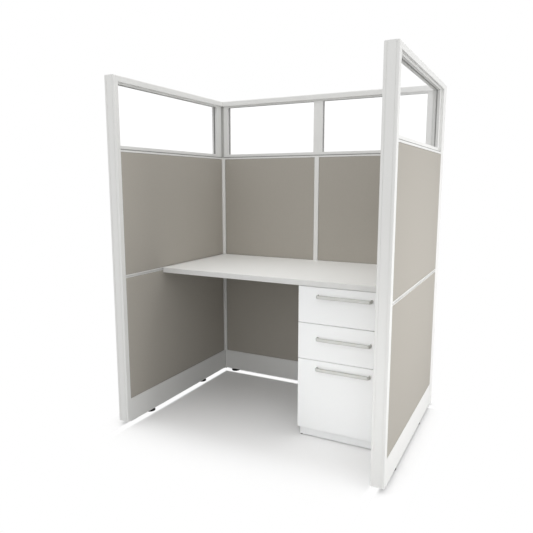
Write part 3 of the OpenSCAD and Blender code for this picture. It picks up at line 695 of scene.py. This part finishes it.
@dataclass
class Workpiece:
    """One new piece while it is shaped with Blender's own tools.

    Attributes:
        obj: The mesh object, which sits at the origin with its place in its mesh.
        crease: Angle in degrees between two faces past which their edge stays sharp.
    """

    obj: bpy.types.Object
    crease: float = 32

    @classmethod
    def _start(cls, name: str) -> "Workpiece":
        """Takes over the primitive that was just added.

        Args:
            name: The name that it gets.

        Returns:
            The new workpiece, with its place in its mesh.
        """
        obj = bpy.context.active_object
        obj.name = obj.data.name = name
        bpy.ops.object.transform_apply(location=True, rotation=True, scale=True)
        return cls(obj)

    @classmethod
    def block(cls, name: str, low: Vector, high: Vector) -> "Workpiece":
        """Starts from a block.

        Args:
            name: The piece's name.
            low: Its lowest corner, in metres.
            high: Its highest corner, in metres.

        Returns:
            The new workpiece.
        """
        bpy.ops.object.select_all(action="DESELECT")
        bpy.ops.mesh.primitive_cube_add(
            size=1, location=(low + high) / 2, scale=high - low
        )
        return cls._start(name)

    @classmethod
    def round_bar(
        cls, name: str, radius: float, foot: float, height: float, sides: int = 48
    ) -> "Workpiece":
        """Starts from an upright bar on the Z axis.

        Args:
            name: The piece's name.
            radius: Radius of the bar, or of its corners.
            foot: Height of its lower end.
            height: Length of the bar.
            sides: Number of sides.

        Returns:
            The new workpiece.
        """
        bpy.ops.object.select_all(action="DESELECT")
        bpy.ops.mesh.primitive_cylinder_add(
            vertices=sides,
            radius=radius * MM,
            depth=height * MM,
            location=metres(0, 0, foot + height / 2),
        )
        return cls._start(name)

    @contextmanager
    def editing(self) -> Iterator[None]:
        """Holds the piece in edit mode with nothing selected.

        Yields:
            Nothing, while the lines under the with statement shape the mesh.
        """
        bpy.ops.object.select_all(action="DESELECT")
        self.obj.select_set(True)
        bpy.context.view_layer.objects.active = self.obj
        bpy.ops.object.mode_set(mode="EDIT")
        bpy.ops.mesh.select_all(action="DESELECT")
        yield
        bpy.ops.object.mode_set(mode="OBJECT")

    def pick_faces(self, wanted: Callable[[Vector, Vector], bool]) -> None:
        """Selects faces in edit mode.

        Args:
            wanted: The test that a face's middle and its normal have to pass.
        """
        bpy.ops.mesh.select_all(action="DESELECT")
        bpy.ops.mesh.select_mode(type="FACE")
        mesh = bmesh.from_edit_mesh(self.obj.data)
        for face in mesh.faces:
            face.select_set(wanted(face.calc_center_median(), face.normal))
        bmesh.update_edit_mesh(self.obj.data)

    def pick_edges(self, wanted: Callable[[Vector, Vector], bool]) -> None:
        """Selects edges in edit mode.

        Args:
            wanted: The test that an edge's two ends have to pass.
        """
        bpy.ops.mesh.select_all(action="DESELECT")
        bpy.ops.mesh.select_mode(type="EDGE")
        mesh = bmesh.from_edit_mesh(self.obj.data)
        for edge in mesh.edges:
            edge.select_set(wanted(edge.verts[0].co, edge.verts[1].co))
        bmesh.update_edit_mesh(self.obj.data)

    def modify(self, kind: str, **settings: Any) -> None:
        """Adds a modifier and applies it.

        Args:
            kind: Blender's name for the modifier.
            settings: The modifier's own properties, such as width.
        """
        bpy.ops.object.select_all(action="DESELECT")
        self.obj.select_set(True)
        bpy.context.view_layer.objects.active = self.obj
        modifier = self.obj.modifiers.new(kind.lower(), kind)
        for name, value in settings.items():
            setattr(modifier, name, value)
        bpy.ops.object.modifier_apply(modifier=modifier.name)

    def copy(self, name: str, placing: Matrix) -> "Workpiece":
        """Makes a copy with a mesh of its own.

        Args:
            name: The copy's name.
            placing: The matrix that moves its mesh.

        Returns:
            The copy.
        """
        twin = self.obj.copy()
        twin.data = self.obj.data.copy()
        twin.name = twin.data.name = name
        twin.data.transform(placing)
        bpy.context.scene.collection.objects.link(twin)
        return Workpiece(twin)

    def finish(self, surface: Surface, body: str, slot: str) -> bpy.types.Object:
        """Dresses the piece and lets it ride.

        Args:
            surface: The finish that it gets.
            body: The body that it moves with.
            slot: The record's material slot that its finish comes from. Not used.

        Returns:
            The finished object.
        """
        bpy.ops.object.select_all(action="DESELECT")
        self.obj.select_set(True)
        bpy.context.view_layer.objects.active = self.obj
        bpy.ops.object.shade_smooth_by_angle(angle=math.radians(self.crease))
        self.obj.data.materials.clear()
        self.obj.data.materials.append(surface.value.material())
        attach(self.obj, body)
        log.info("%s rides on %s in %s", self.obj.name, body, surface.value.name)
        return self.obj

    def discard(self) -> None:
        """Removes a pattern piece once its copies are made."""
        bpy.data.objects.remove(self.obj)


@dataclass
class FrameDressing:
    """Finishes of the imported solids, which keep their shape."""

    slots: dict[str, Surface] = field(default_factory=lambda: dict(SLOT_SURFACES))

    def dress(self) -> None:
        """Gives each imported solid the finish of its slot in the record."""
        for part in frame["record"]["subparts"]:
            surface = self.slots[part["material_slot"]]
            mesh = frame["nodes"][part["node"]].data
            if not mesh.materials:
                mesh.materials.append(None)
            for place in range(len(mesh.materials)):
                mesh.materials[place] = surface.value.material()
            log.info("%s in %s", part["node"], surface.value.name)


@dataclass
class WallTiles:
    """Cloth-wrapped boards, an upper and a lower one on each face of each wall.

    Attributes:
        split_low: Top of the lower tiles.
        split_high: Bottom of the upper tiles.
        wrap_r: Radius of the cloth where it turns over the board's edges.
        crown: How far the cloth stands proud in the middle of a tile.
        crown_in: Width of the band in which the crown rises.
        crown_steps: Shares of the crown that its rings rise by, from the rim inwards.
        inner_reach: How far from the tile's middle the middle of its face may lie. The
            narrow faces of the rounded rim lie further out.
    """

    split_low: float = 737.4
    split_high: float = 753.9
    wrap_r: float = 2.6
    crown: float = 0.25
    crown_in: float = 16
    crown_steps: tuple[float, ...] = (0.6, 0.4)
    inner_reach: float = 50

    def build(self) -> list[bpy.types.Object]:
        """Makes the tiles in the place of the plain ones, and hides those.

        Returns:
            The tiles.
        """
        made = []
        for node in sorted(n for n in frame["nodes"] if n.endswith("_tiles")):
            low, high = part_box(node)
            for name, bottom, top in (
                ("lower", low.z, self.split_low * MM),
                ("upper", self.split_high * MM, high.z),
            ):
                corners = (
                    Vector((low.x, low.y, bottom)),
                    Vector((high.x, high.y, top)),
                )
                tile = self.wrapped_board(f"{node[:-1]}_{name}_cloth", *corners)
                made.append(tile.finish(Surface.CLOTH, MAIN_BODY, "tile_fabric"))
                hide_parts(node)
        return made

    def outward(self, low: Vector, high: Vector) -> Vector:
        """Finds the way a tile faces, which is away from the middle of its wall.

        Args:
            low: The tile's lowest corner, in metres.
            high: Its highest corner, in metres.

        Returns:
            A vector of length 1.
        """
        middle = (low + high) / 2
        if high.x - low.x < high.y - low.y:
            wall = math.copysign(WING_MIDDLE * MM, middle.x)
            return Vector((math.copysign(1, middle.x - wall), 0, 0))
        return Vector((0, math.copysign(1, middle.y - BACK_MIDDLE * MM), 0))

    def wrapped_board(self, name: str, low: Vector, high: Vector) -> Workpiece:
        """Makes one tile.

        Args:
            name: Its name.
            low: Its lowest corner, in metres.
            high: Its highest corner, in metres.

        Returns:
            The board with rounded front edges and a slightly crowned face.
        """
        out = self.outward(low, high)
        board = Workpiece.block(name, low, high)
        middle = (low + high) / 2
        face_at = max(out.dot(low), out.dot(high))
        with board.editing():
            # The rim of the face stands back by the crown
            board.pick_faces(lambda centre, normal: normal.dot(out) > FACING)
            bpy.ops.transform.translate(value=-out * self.crown * MM)
            rim_at = face_at - self.crown * MM
            board.pick_edges(
                lambda a, b: max(a.dot(out), b.dot(out)) > rim_at - TOUCHING
            )
            bpy.ops.mesh.bevel(
                offset=self.wrap_r * MM, segments=4, profile=0.5, affect="EDGES"
            )
            # The cloth swells in steps from the rim to the middle
            board.pick_faces(
                lambda centre, normal: normal.dot(out) > FACING
                and (centre - middle).cross(out).length < self.inner_reach * MM
            )
            for share in self.crown_steps:
                bpy.ops.mesh.inset(
                    thickness=self.crown_in * MM / len(self.crown_steps),
                    depth=self.crown * share * MM,
                )
        return board


@dataclass
class LevellingGlides:
    """Threaded glides under the walls: a nylon foot on a zinc-plated stem.

    Attributes:
        foot_r: Radius of the foot.
        rim_h: Height of the foot's rim.
        rim_edge_r: Radius of the rim's edges.
        cone_top_r: Radius of the top of its cone.
        cone_h: Height of the cone over the rim.
        sole_r: Radius of the hollow in the sole.
        sole_d: Depth of the hollow.
        sole_slope: How far the side of the hollow slopes in.
        hex_r: Radius to the corners of the hexagon.
        hex_h: Height of the hexagon.
        hex_chamfer: Width of the chamfer at its two ends.
        stem_r: Radius over the crests of the thread.
        thread_d: Depth of the thread.
        pitch: Pitch of the thread.
        stem_top: Height of the stem's upper end above the floor.
    """

    foot_r: float = 25
    rim_h: float = 5
    rim_edge_r: float = 0.9
    cone_top_r: float = 12
    cone_h: float = 5
    sole_r: float = 18
    sole_d: float = 1.5
    sole_slope: float = 0.6
    hex_r: float = 9.5
    hex_h: float = 6
    hex_chamfer: float = 0.7
    stem_r: float = 5
    thread_d: float = 0.8
    pitch: float = 1.5
    stem_top: float = 47

    def build(self) -> list[bpy.types.Object]:
        """Makes one glide, and a copy of it in the place of each plain one.

        Returns:
            The feet and the stems.
        """
        foot, stem = self.foot(), self.stem()
        made = []
        for node in sorted(n for n in frame["nodes"] if n.endswith("_glide")):
            low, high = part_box(node)
            there = Matrix.Translation(((low.x + high.x) / 2, (low.y + high.y) / 2, 0))
            for pattern, surface, name in (
                (foot, Surface.NYLON, "pad"),
                (stem, Surface.ZINC, "stem"),
            ):
                piece = pattern.copy(f"{node}_{name}", there)
                made.append(piece.finish(surface, f"{node}_foot", "glide_black"))
                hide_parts(node)
        foot.discard()
        stem.discard()
        return made

    def foot(self) -> Workpiece:
        """Makes the foot: a rim with rounded edges and a hollow sole, and a cone on it.

        Returns:
            The foot, as a pattern at the origin.
        """
        foot = Workpiece.round_bar("foot_pattern", self.foot_r, 0, self.rim_h)
        cone_top = (self.rim_h + self.cone_h) * MM
        with foot.editing():
            foot.pick_faces(lambda centre, normal: normal.z > FACING)
            bpy.ops.mesh.extrude_region_move(
                TRANSFORM_OT_translate={"value": (0, 0, self.cone_h * MM)}
            )
            share = self.cone_top_r / self.foot_r
            bpy.ops.transform.resize(
                value=(share, share, 1), center_override=(0, 0, cone_top)
            )
            foot.pick_faces(lambda centre, normal: normal.z < -FACING)
            bpy.ops.mesh.inset(thickness=(self.foot_r - self.sole_r) * MM, depth=0)
            bpy.ops.mesh.inset(thickness=self.sole_slope * MM, depth=-self.sole_d * MM)
            for height in (self.rim_h * MM, 0):
                foot.pick_edges(
                    lambda a, b, z=height: abs(a.z - z) < TOUCHING
                    and abs(b.z - z) < TOUCHING
                    and a.xy.length > self.foot_r * MM - TOUCHING
                )
                bpy.ops.mesh.bevel(
                    offset=self.rim_edge_r * MM, segments=3, affect="EDGES"
                )
        return foot

    def stem(self) -> Workpiece:
        """Makes the stem: a chamfered hexagon, and a thread above it.

        Returns:
            The stem, as a pattern over the origin.
        """
        base = self.rim_h + self.cone_h
        stem = Workpiece.round_bar(
            "stem_pattern", self.hex_r, base, self.hex_h, sides=6
        )
        with stem.editing():
            for way in (1, -1):
                stem.pick_faces(
                    lambda centre, normal, way=way: normal.z * way > FACING
                )
                bpy.ops.mesh.bevel(
                    offset=self.hex_chamfer * MM, segments=1, affect="EDGES"
                )
        thread_from = base + self.hex_h
        thread = self.thread(thread_from, self.stem_top - thread_from)
        bpy.ops.object.select_all(action="DESELECT")
        thread.obj.select_set(True)
        stem.obj.select_set(True)
        bpy.context.view_layer.objects.active = stem.obj
        bpy.ops.object.join()
        return stem

    def thread(self, foot: float, length: float) -> Workpiece:
        """Makes a threaded rod.

        The thread is made of rings, crest and root in turn. At this pitch they look
        like the turns of a helix.

        Args:
            foot: Height of its lower end.
            length: Its length.

        Returns:
            The rod with its crests and roots.
        """
        rod = Workpiece.round_bar(
            "thread_pattern", self.stem_r, foot, length, sides=24
        )
        turns = int(length / self.pitch)
        with rod.editing():
            for turn in range(1, 2 * turns):
                bpy.ops.mesh.select_all(action="SELECT")
                bpy.ops.mesh.bisect(
                    plane_co=(0, 0, (foot + turn * length / (2 * turns)) * MM),
                    plane_no=(0, 0, 1),
                )
            step = length / (2 * turns) * MM

            def in_root(a: Vector, b: Vector) -> bool:
                """Tells if an edge lies in a root, which is on every second ring."""
                ring = round((a.z - foot * MM) / step)
                return abs(a.z - b.z) < TOUCHING and ring % 2 == 1

            rod.pick_edges(in_root)
            share = 1 - self.thread_d / self.stem_r
            bpy.ops.transform.resize(
                value=(share, share, 1), center_override=(0, 0, 0)
            )
        return rod


@dataclass
class ShadowStrips:
    """Dark grey foam seals in the reveal under the glass frames; their colour paints
    its shadow line.

    Attributes:
        wing_front: Y of the front end of a wing's strips.
        wing_rear: Y of the rear end of its inner and of its outer strip.
        back_inner: Distance from the middle to the back strips' ends at the seam.
        back_outer: Distance from the middle to the ends at the corner, of the inner
            and of the outer strips.
        neck_half: Half the thickness of the ledge's neck that they stick to.
        proud: How far a strip stands out from it.
        foot: Height of the strips' lower edge.
        height: Height of a strip.
        edge_r: Radius of their edges.
    """

    wing_front: float = -458.9
    wing_rear: tuple[float, float] = (428.2, 414.7)
    back_inner: float = 0.3
    back_outer: tuple[float, float] = (609.7, 596.2)
    neck_half: float = 13.55
    proud: float = 8
    foot: float = 1339.05
    height: float = 4.9
    edge_r: float = 0.8

    def build(self) -> list[bpy.types.Object]:
        """Makes one strip for each face of each wing and of each back panel.

        Returns:
            The strips.
        """
        strips = []
        low, high = self.neck_half, self.neck_half + self.proud
        for side, way in (("left", -1), ("right", 1)):
            for face, sense, rear in zip(FACES, (-way, way), self.wing_rear):
                across = sorted(
                    way * WING_MIDDLE + sense * reach for reach in (low, high)
                )
                along = (self.wing_front, rear)
                strips.append(self.strip(f"{side}_wing_{face}", across, along))
            for face, sense, end in zip(FACES, (-1, 1), self.back_outer):
                across = sorted((way * self.back_inner, way * end))
                along = sorted(BACK_MIDDLE + sense * reach for reach in (low, high))
                strips.append(self.strip(f"back_{side}_{face}", across, along))
        return strips

    def strip(
        self, place: str, across: Sequence[float], along: Sequence[float]
    ) -> bpy.types.Object:
        """Makes one strip.

        Args:
            place: The wall and the face that it stands on.
            across: Its ends in X.
            along: Its ends in Y.

        Returns:
            The finished strip.
        """
        low = metres(across[0], along[0], self.foot)
        high = metres(across[1], along[1], self.foot + self.height)
        piece = Workpiece.block(f"{place}_shadow_strip", low, high)
        piece.modify("BEVEL", width=self.edge_r * MM, segments=3, limit_method="NONE")
        # The strip's dark grey foam paints the shadow line of the reveal
        return piece.finish(Surface.FOAM, MAIN_BODY, "glazing_rubber")


@dataclass
class Fixings:
    """Pan-head screws that hold the brackets, the drawer fronts and the pulls.

    Attributes:
        head_r: Radius of a head.
        head_h: Height of a head.
        head_edge_r: Radius of its rounded edge.
        recess_reach: Length of an arm of the cross recess, as a share of head_r.
        recess_w: Width of an arm.
        recess_d: Depth of the recess.
        recess_taper: Its width at the bottom, as a share of that at the top.
        bracket_under: Height of the underside of the brackets' plates.
        side_bracket_x: X of the screws of the side bracket.
        side_bracket_y: Their places in Y.
        cantilever_x: X of the two rows of screws of the cantilever bracket.
        cantilever_y: Their places in Y.
        box_sheet: Thickness of a drawer box's sheet, on whose inner face heads lie.
        pull_end: Distance from a pull's end to its screw.
        front_side: Distance from a box's side to the screws of its front.
        front_edge: Distance from a box's upper or lower edge to these screws.
    """

    head_r: float = 4.2
    head_h: float = 2.4
    head_edge_r: float = 1.1
    recess_reach: float = 0.62
    recess_w: float = 1.1
    recess_d: float = 1.3
    recess_taper: float = 0.7
    bracket_under: float = 723.8
    side_bracket_x: float = -585
    side_bracket_y: tuple[float, ...] = (-40, 73, 185, 290)
    cantilever_x: tuple[float, ...] = (-16.5, 3)
    cantilever_y: tuple[float, ...] = (20, 210, 390)
    box_sheet: float = 1.5
    pull_end: float = 4.5
    front_side: float = 45
    front_edge: float = 22

    def build(self) -> list[bpy.types.Object]:
        """Makes one screw head and its copies, and joins those of each piece.

        Returns:
            The brackets' screws and each drawer's.
        """
        head = self.head()
        made = [self.bracket_screws(head), *self.drawer_screws(head)]
        head.discard()
        return made

    def head(self) -> Workpiece:
        """Makes a head that looks along +Z from the origin, with a cross recess.

        Returns:
            The head, as a pattern.
        """
        head = Workpiece.round_bar(
            "screw_pattern", self.head_r, 0, self.head_h, sides=24
        )
        with head.editing():
            head.pick_faces(lambda centre, normal: normal.z > FACING)
            bpy.ops.mesh.bevel(
                offset=self.head_edge_r * MM, segments=3, affect="EDGES"
            )
        arm, half = self.head_r * self.recess_reach * MM, self.recess_w / 2 * MM
        # The cutter stands 1 mm out of the head
        low, high = (self.head_h - self.recess_d) * MM, (self.head_h + 1) * MM
        for wide, deep in ((arm, half), (half, arm)):
            cutter = Workpiece.block(
                "recess_cutter", Vector((-wide, -deep, low)), Vector((wide, deep, high))
            )
            with cutter.editing():
                cutter.pick_faces(lambda centre, normal: normal.z < -FACING)
                bpy.ops.transform.resize(
                    value=(self.recess_taper, self.recess_taper, 1),
                    center_override=(0, 0, low),
                )
            head.modify("BOOLEAN", object=cutter.obj, operation="DIFFERENCE")
            cutter.discard()
        return head

    def placed(
        self, head: Workpiece, name: str, spots: list[Vector], way: Vector
    ) -> Workpiece:
        """Copies the head to each spot and joins the copies.

        Args:
            head: The pattern, which looks along +Z.
            name: Name of the joined piece.
            spots: Where the heads' flat sides lie, in metres.
            way: The way the heads look.

        Returns:
            The joined heads.
        """
        turn = Vector((0, 0, 1)).rotation_difference(way).to_matrix().to_4x4()
        heads = [
            head.copy(f"{name}_{i}" if i else name, Matrix.Translation(spot) @ turn)
            for i, spot in enumerate(spots)
        ]
        bpy.ops.object.select_all(action="DESELECT")
        for one in heads:
            one.obj.select_set(True)
        bpy.context.view_layer.objects.active = heads[0].obj
        bpy.ops.object.join()
        return heads[0]

    def bracket_screws(self, head: Workpiece) -> bpy.types.Object:
        """Puts screws up through both brackets into the worksurface.

        Args:
            head: The pattern.

        Returns:
            The joined heads.
        """
        spots = [
            metres(self.side_bracket_x, y, self.bracket_under)
            for y in self.side_bracket_y
        ] + [
            metres(x, y, self.bracket_under)
            for x in self.cantilever_x
            for y in self.cantilever_y
        ]
        screws = self.placed(head, "bracket_screws", spots, Vector((0, 0, -1)))
        return screws.finish(Surface.ZINC, MAIN_BODY, "slide_zinc")

    def drawer_screws(self, head: Workpiece) -> list[bpy.types.Object]:
        """Puts screws through each box into its front, and into its pull.

        Args:
            head: The pattern.

        Returns:
            The joined heads of each drawer.
        """
        made = []
        for drawer in ("upper", "middle", "file"):
            low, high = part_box(f"{drawer}_box")
            pull_low, pull_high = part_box(f"{drawer}_pull")
            inside = low.y + self.box_sheet * MM
            pull_z = (pull_low.z + pull_high.z) / 2
            end, side = self.pull_end * MM, self.front_side * MM
            edge = self.front_edge * MM
            spots = [
                Vector((x, inside, pull_z))
                for x in (pull_low.x + end, pull_high.x - end)
            ] + [
                Vector((x, inside, z))
                for x in (low.x + side, high.x - side)
                for z in (low.z + edge, high.z - edge)
            ]
            front = self.placed(
                head, f"{drawer}_front_screws", spots, Vector((0, 1, 0))
            )
            made.append(front.finish(Surface.ZINC, f"{drawer}_drawer", "slide_zinc"))
        return made


@dataclass(frozen=True)
class Softbox:
    """A square lamp with a grid in front of it that narrows its beam.

    Attributes:
        name: Its name.
        place: Where it hangs.
        target: What it points at.
        width: Its width.
        power: Its power in watts.
        spread: How wide its beam fans out, in degrees.
    """

    name: str
    place: tuple[float, float, float]
    target: tuple[float, float, float]
    width: float
    power: float
    spread: float = 180

    def hang(self) -> None:
        """Puts the lamp into the scene."""
        data = bpy.data.lights.new(self.name, "AREA")
        data.shape = "SQUARE"
        data.size = self.width * MM
        data.energy = self.power
        data.spread = math.radians(self.spread)
        lamp = bpy.data.objects.new(self.name, data)
        lamp.location = metres(*self.place)
        way = metres(*self.target) - lamp.location
        lamp.rotation_euler = way.to_track_quat("-Z", "Y").to_euler()
        bpy.context.scene.collection.objects.link(lamp)


@dataclass
class Studio:
    """A white floor, soft light and the camera of the photograph.

    Attributes:
        floor_half: Half the width of the floor.
        floor_seen: The floor's colour where it keeps the shadow.
        bounce: The colour with which it throws light back at the object, inside and
            outside the walls.
        gleam_x: Distance from the middle in X to the bright lines that the light from
            outside makes on the floor under the wings.
        gleam_y: Y of such a line under the back wall.
        gleam_full: Half the width over which such a line is white.
        gleam_end: Half the width at which it has faded out.
        beside: Distances from the middle in X over which the floor turns white.
        behind: The same in Y towards the back.
        before: The same in Y towards the open front.
        glass_share: Share of what is seen that one face of a pane lets through, which
            is the glass's colour in linear values.
        ambient: Strength of the light from all round.
        zenith: Strength of what comes from above on top of it.
        zenith_gather: How much that gathers overhead, as a power of the height.
        lamps: The softboxes.
        camera_at: The camera's place.
        camera_turn: Its turn about X and Z, in degrees.
        lens: Its focal length.
        sensor: Width of its sensor.
    """

    floor_half: float = 9000
    floor_seen: str = "#f6f6f6"
    bounce: tuple[str, str] = ("#a0a0a0", "#b4b4b4")
    gleam_x: float = 620
    gleam_y: float = 440
    gleam_full: float = 14
    gleam_end: float = 34
    beside: tuple[float, float] = (650, 760)
    behind: tuple[float, float] = (470, 600)
    before: tuple[float, float] = (-320, -700)
    glass_share: float = 0.939
    ambient: float = 0.84
    zenith: float = 0.7
    zenith_gather: float = 2
    lamps: tuple[Softbox, ...] = (
        Softbox(
            "side_lamp",
            place=(3300, -300, 700),
            target=(667, 0, 750),
            width=1400,
            power=5,
            spread=60,
        ),
        Softbox(
            "front_lamp",
            place=(0, -3000, 900),
            target=(390, -170, 300),
            width=500,
            power=0.46,
            spread=25,
        ),
        Softbox(
            "foot_lamp",
            place=(400, -3000, 60),
            target=(400, -130, 40),
            width=300,
            power=0.035,
            spread=12,
        ),
        Softbox(
            "key_lamp",
            place=(700, -3400, 2200),
            target=(0, 0, 800),
            width=2200,
            power=1,
        ),
    )
    camera_at: tuple[float, float, float] = (1131.2, -2369.9, 1184.5)
    camera_turn: tuple[float, float] = (81.15, 27.31)
    lens: float = 35.88
    sensor: float = 36

    def build(self) -> None:
        """Sets up the floor, the surroundings, the lamps and the camera."""
        self.floor()
        self.surroundings()
        for lamp in self.lamps:
            lamp.hang()
        self.camera()
        log.info("studio ready")

    def seen(self, tree: Tree) -> Socket:
        """Tells what is seen from what only lights the object.

        Args:
            tree: The node tree.

        Returns:
            1 for what the camera, a reflection or clear glass shows, and otherwise 0.
        """
        path = add_node(tree, "ShaderNodeLightPath").outputs
        seen = path["Is Camera Ray"]
        for name in ("Is Glossy Ray", "Is Transmission Ray"):
            seen = add_node(
                tree,
                "ShaderNodeMath",
                {0: seen, 1: path[name]},
                operation="ADD",
                use_clamp=True,
            ).outputs["Value"]
        return seen

    def white(self, tree: Tree) -> Socket:
        """Finds the strength that shows as white, also through the panes.

        Args:
            tree: The node tree.

        Returns:
            A strength of 1, raised by what each face of glass on the way holds back.
        """
        faces = add_node(tree, "ShaderNodeLightPath").outputs["Transmission Depth"]
        return add_node(
            tree,
            "ShaderNodeMath",
            {0: 1 / self.glass_share, 1: faces},
            operation="POWER",
        ).outputs["Value"]

    def whiteness(self, tree: Tree) -> Socket:
        """Draws where the floor turns white: off the object, and under the walls.

        Args:
            tree: The floor's node tree.

        Returns:
            A value from 0, where the floor keeps the shadow, to 1, where it is white.
        """
        place = add_node(tree, "ShaderNodeTexCoord").outputs["Object"]
        axes = add_node(tree, "ShaderNodeSeparateXYZ", {"Vector": place}).outputs
        across = add_node(
            tree, "ShaderNodeMath", {0: axes["X"]}, operation="ABSOLUTE"
        ).outputs["Value"]
        along = axes["Y"]
        to_lines = []
        for value, line in ((across, self.gleam_x), (along, self.gleam_y)):
            apart = add_node(
                tree, "ShaderNodeMath", {0: value, 1: line * MM}, operation="SUBTRACT"
            ).outputs["Value"]
            gap = add_node(tree, "ShaderNodeMath", {0: apart}, operation="ABSOLUTE")
            to_lines.append(gap.outputs["Value"])
        to_line = add_node(
            tree, "ShaderNodeMath", dict(enumerate(to_lines)), operation="MINIMUM"
        ).outputs["Value"]
        fades = [
            add_node(
                tree,
                "ShaderNodeMapRange",
                {"Value": value, "From Min": start * MM, "From Max": end * MM},
                interpolation_type="SMOOTHSTEP",
            ).outputs["Result"]
            for value, (start, end) in (
                (to_line, (self.gleam_end, self.gleam_full)),
                (across, self.beside),
                (along, self.behind),
                (along, self.before),
            )
        ]
        white = fades[0]
        for fade in fades[1:]:
            white = add_node(
                tree, "ShaderNodeMath", {0: white, 1: fade}, operation="MAXIMUM"
            ).outputs["Value"]
        return white

    def floor(self) -> None:
        """Lays a floor that keeps the shadow and turns white away from the object."""
        bpy.ops.object.select_all(action="DESELECT")
        bpy.ops.mesh.primitive_plane_add(size=2 * self.floor_half * MM)
        floor = bpy.context.active_object
        floor.name = "studio_floor"
        paint = bpy.data.materials.new("studio_floor_white")
        paint.use_nodes = True
        tree = paint.node_tree
        tree.nodes.clear()
        seen, white = self.seen(tree), self.whiteness(tree)
        inside, outside = (linear(colour) for colour in self.bounce)
        bounce = add_node(
            tree,
            "ShaderNodeMix",
            {0: white, COLOUR_A: inside, COLOUR_B: outside},
            data_type="RGBA",
        ).outputs[COLOUR_MIXED]
        colour = add_node(
            tree,
            "ShaderNodeMix",
            {0: seen, COLOUR_A: bounce, COLOUR_B: linear(self.floor_seen)},
            data_type="RGBA",
        ).outputs[COLOUR_MIXED]
        shaded = add_node(tree, "ShaderNodeBsdfDiffuse", {"Color": colour})
        bright = add_node(tree, "ShaderNodeEmission", {"Strength": self.white(tree)})
        seen_white = add_node(
            tree, "ShaderNodeMath", {0: seen, 1: white}, operation="MULTIPLY"
        )
        mix = add_node(
            tree,
            "ShaderNodeMixShader",
            {
                0: seen_white.outputs["Value"],
                1: shaded.outputs["BSDF"],
                2: bright.outputs["Emission"],
            },
        )
        add_node(tree, "ShaderNodeOutputMaterial", {"Surface": mix.outputs["Shader"]})
        floor.data.materials.append(paint)

    def surroundings(self) -> None:
        """Lights the object from all round, most from above, with white behind it."""
        world = bpy.data.worlds.new("studio_white")
        world.use_nodes = True
        tree = world.node_tree
        tree.nodes.clear()
        place = add_node(tree, "ShaderNodeTexCoord").outputs["Generated"]
        dome = add_node(tree, "ShaderNodeSeparateXYZ", {"Vector": place}).outputs["Z"]
        for operation, *terms in (
            ("MAXIMUM", 0.0),
            ("POWER", self.zenith_gather),
            ("MULTIPLY_ADD", self.zenith, self.ambient),
        ):
            dome = add_node(
                tree,
                "ShaderNodeMath",
                dict(enumerate((dome, *terms))),
                operation=operation,
            ).outputs["Value"]
        strength = add_node(
            tree,
            "ShaderNodeMapRange",
            {"Value": self.seen(tree), "To Min": dome, "To Max": self.white(tree)},
        ).outputs["Result"]
        sky = add_node(
            tree,
            "ShaderNodeBackground",
            {"Color": linear("#ffffff"), "Strength": strength},
        )
        add_node(
            tree, "ShaderNodeOutputWorld", {"Surface": sky.outputs["Background"]}
        )
        bpy.context.scene.world = world

    def camera(self) -> None:
        """Sets the camera that was fitted to the photograph."""
        data = bpy.data.cameras.new("photo_camera")
        data.sensor_width = self.sensor
        data.lens = self.lens
        camera = bpy.data.objects.new("photo_camera", data)
        camera.location = metres(*self.camera_at)
        tilt, pan = (math.radians(angle) for angle in self.camera_turn)
        camera.rotation_euler = (tilt, 0, pan)
        bpy.context.scene.collection.objects.link(camera)
        bpy.context.scene.camera = camera
        bpy.context.scene.view_settings.view_transform = "Standard"


def main() -> None:
    """Builds the workstation's looks in order."""
    logging.basicConfig(level=logging.INFO, format="%(name)s: %(message)s")
    FrameDressing().dress()
    WallTiles().build()
    LevellingGlides().build()
    ShadowStrips().build()
    Fixings().build()
    Studio().build()


if __name__ == "__main__":
    main()
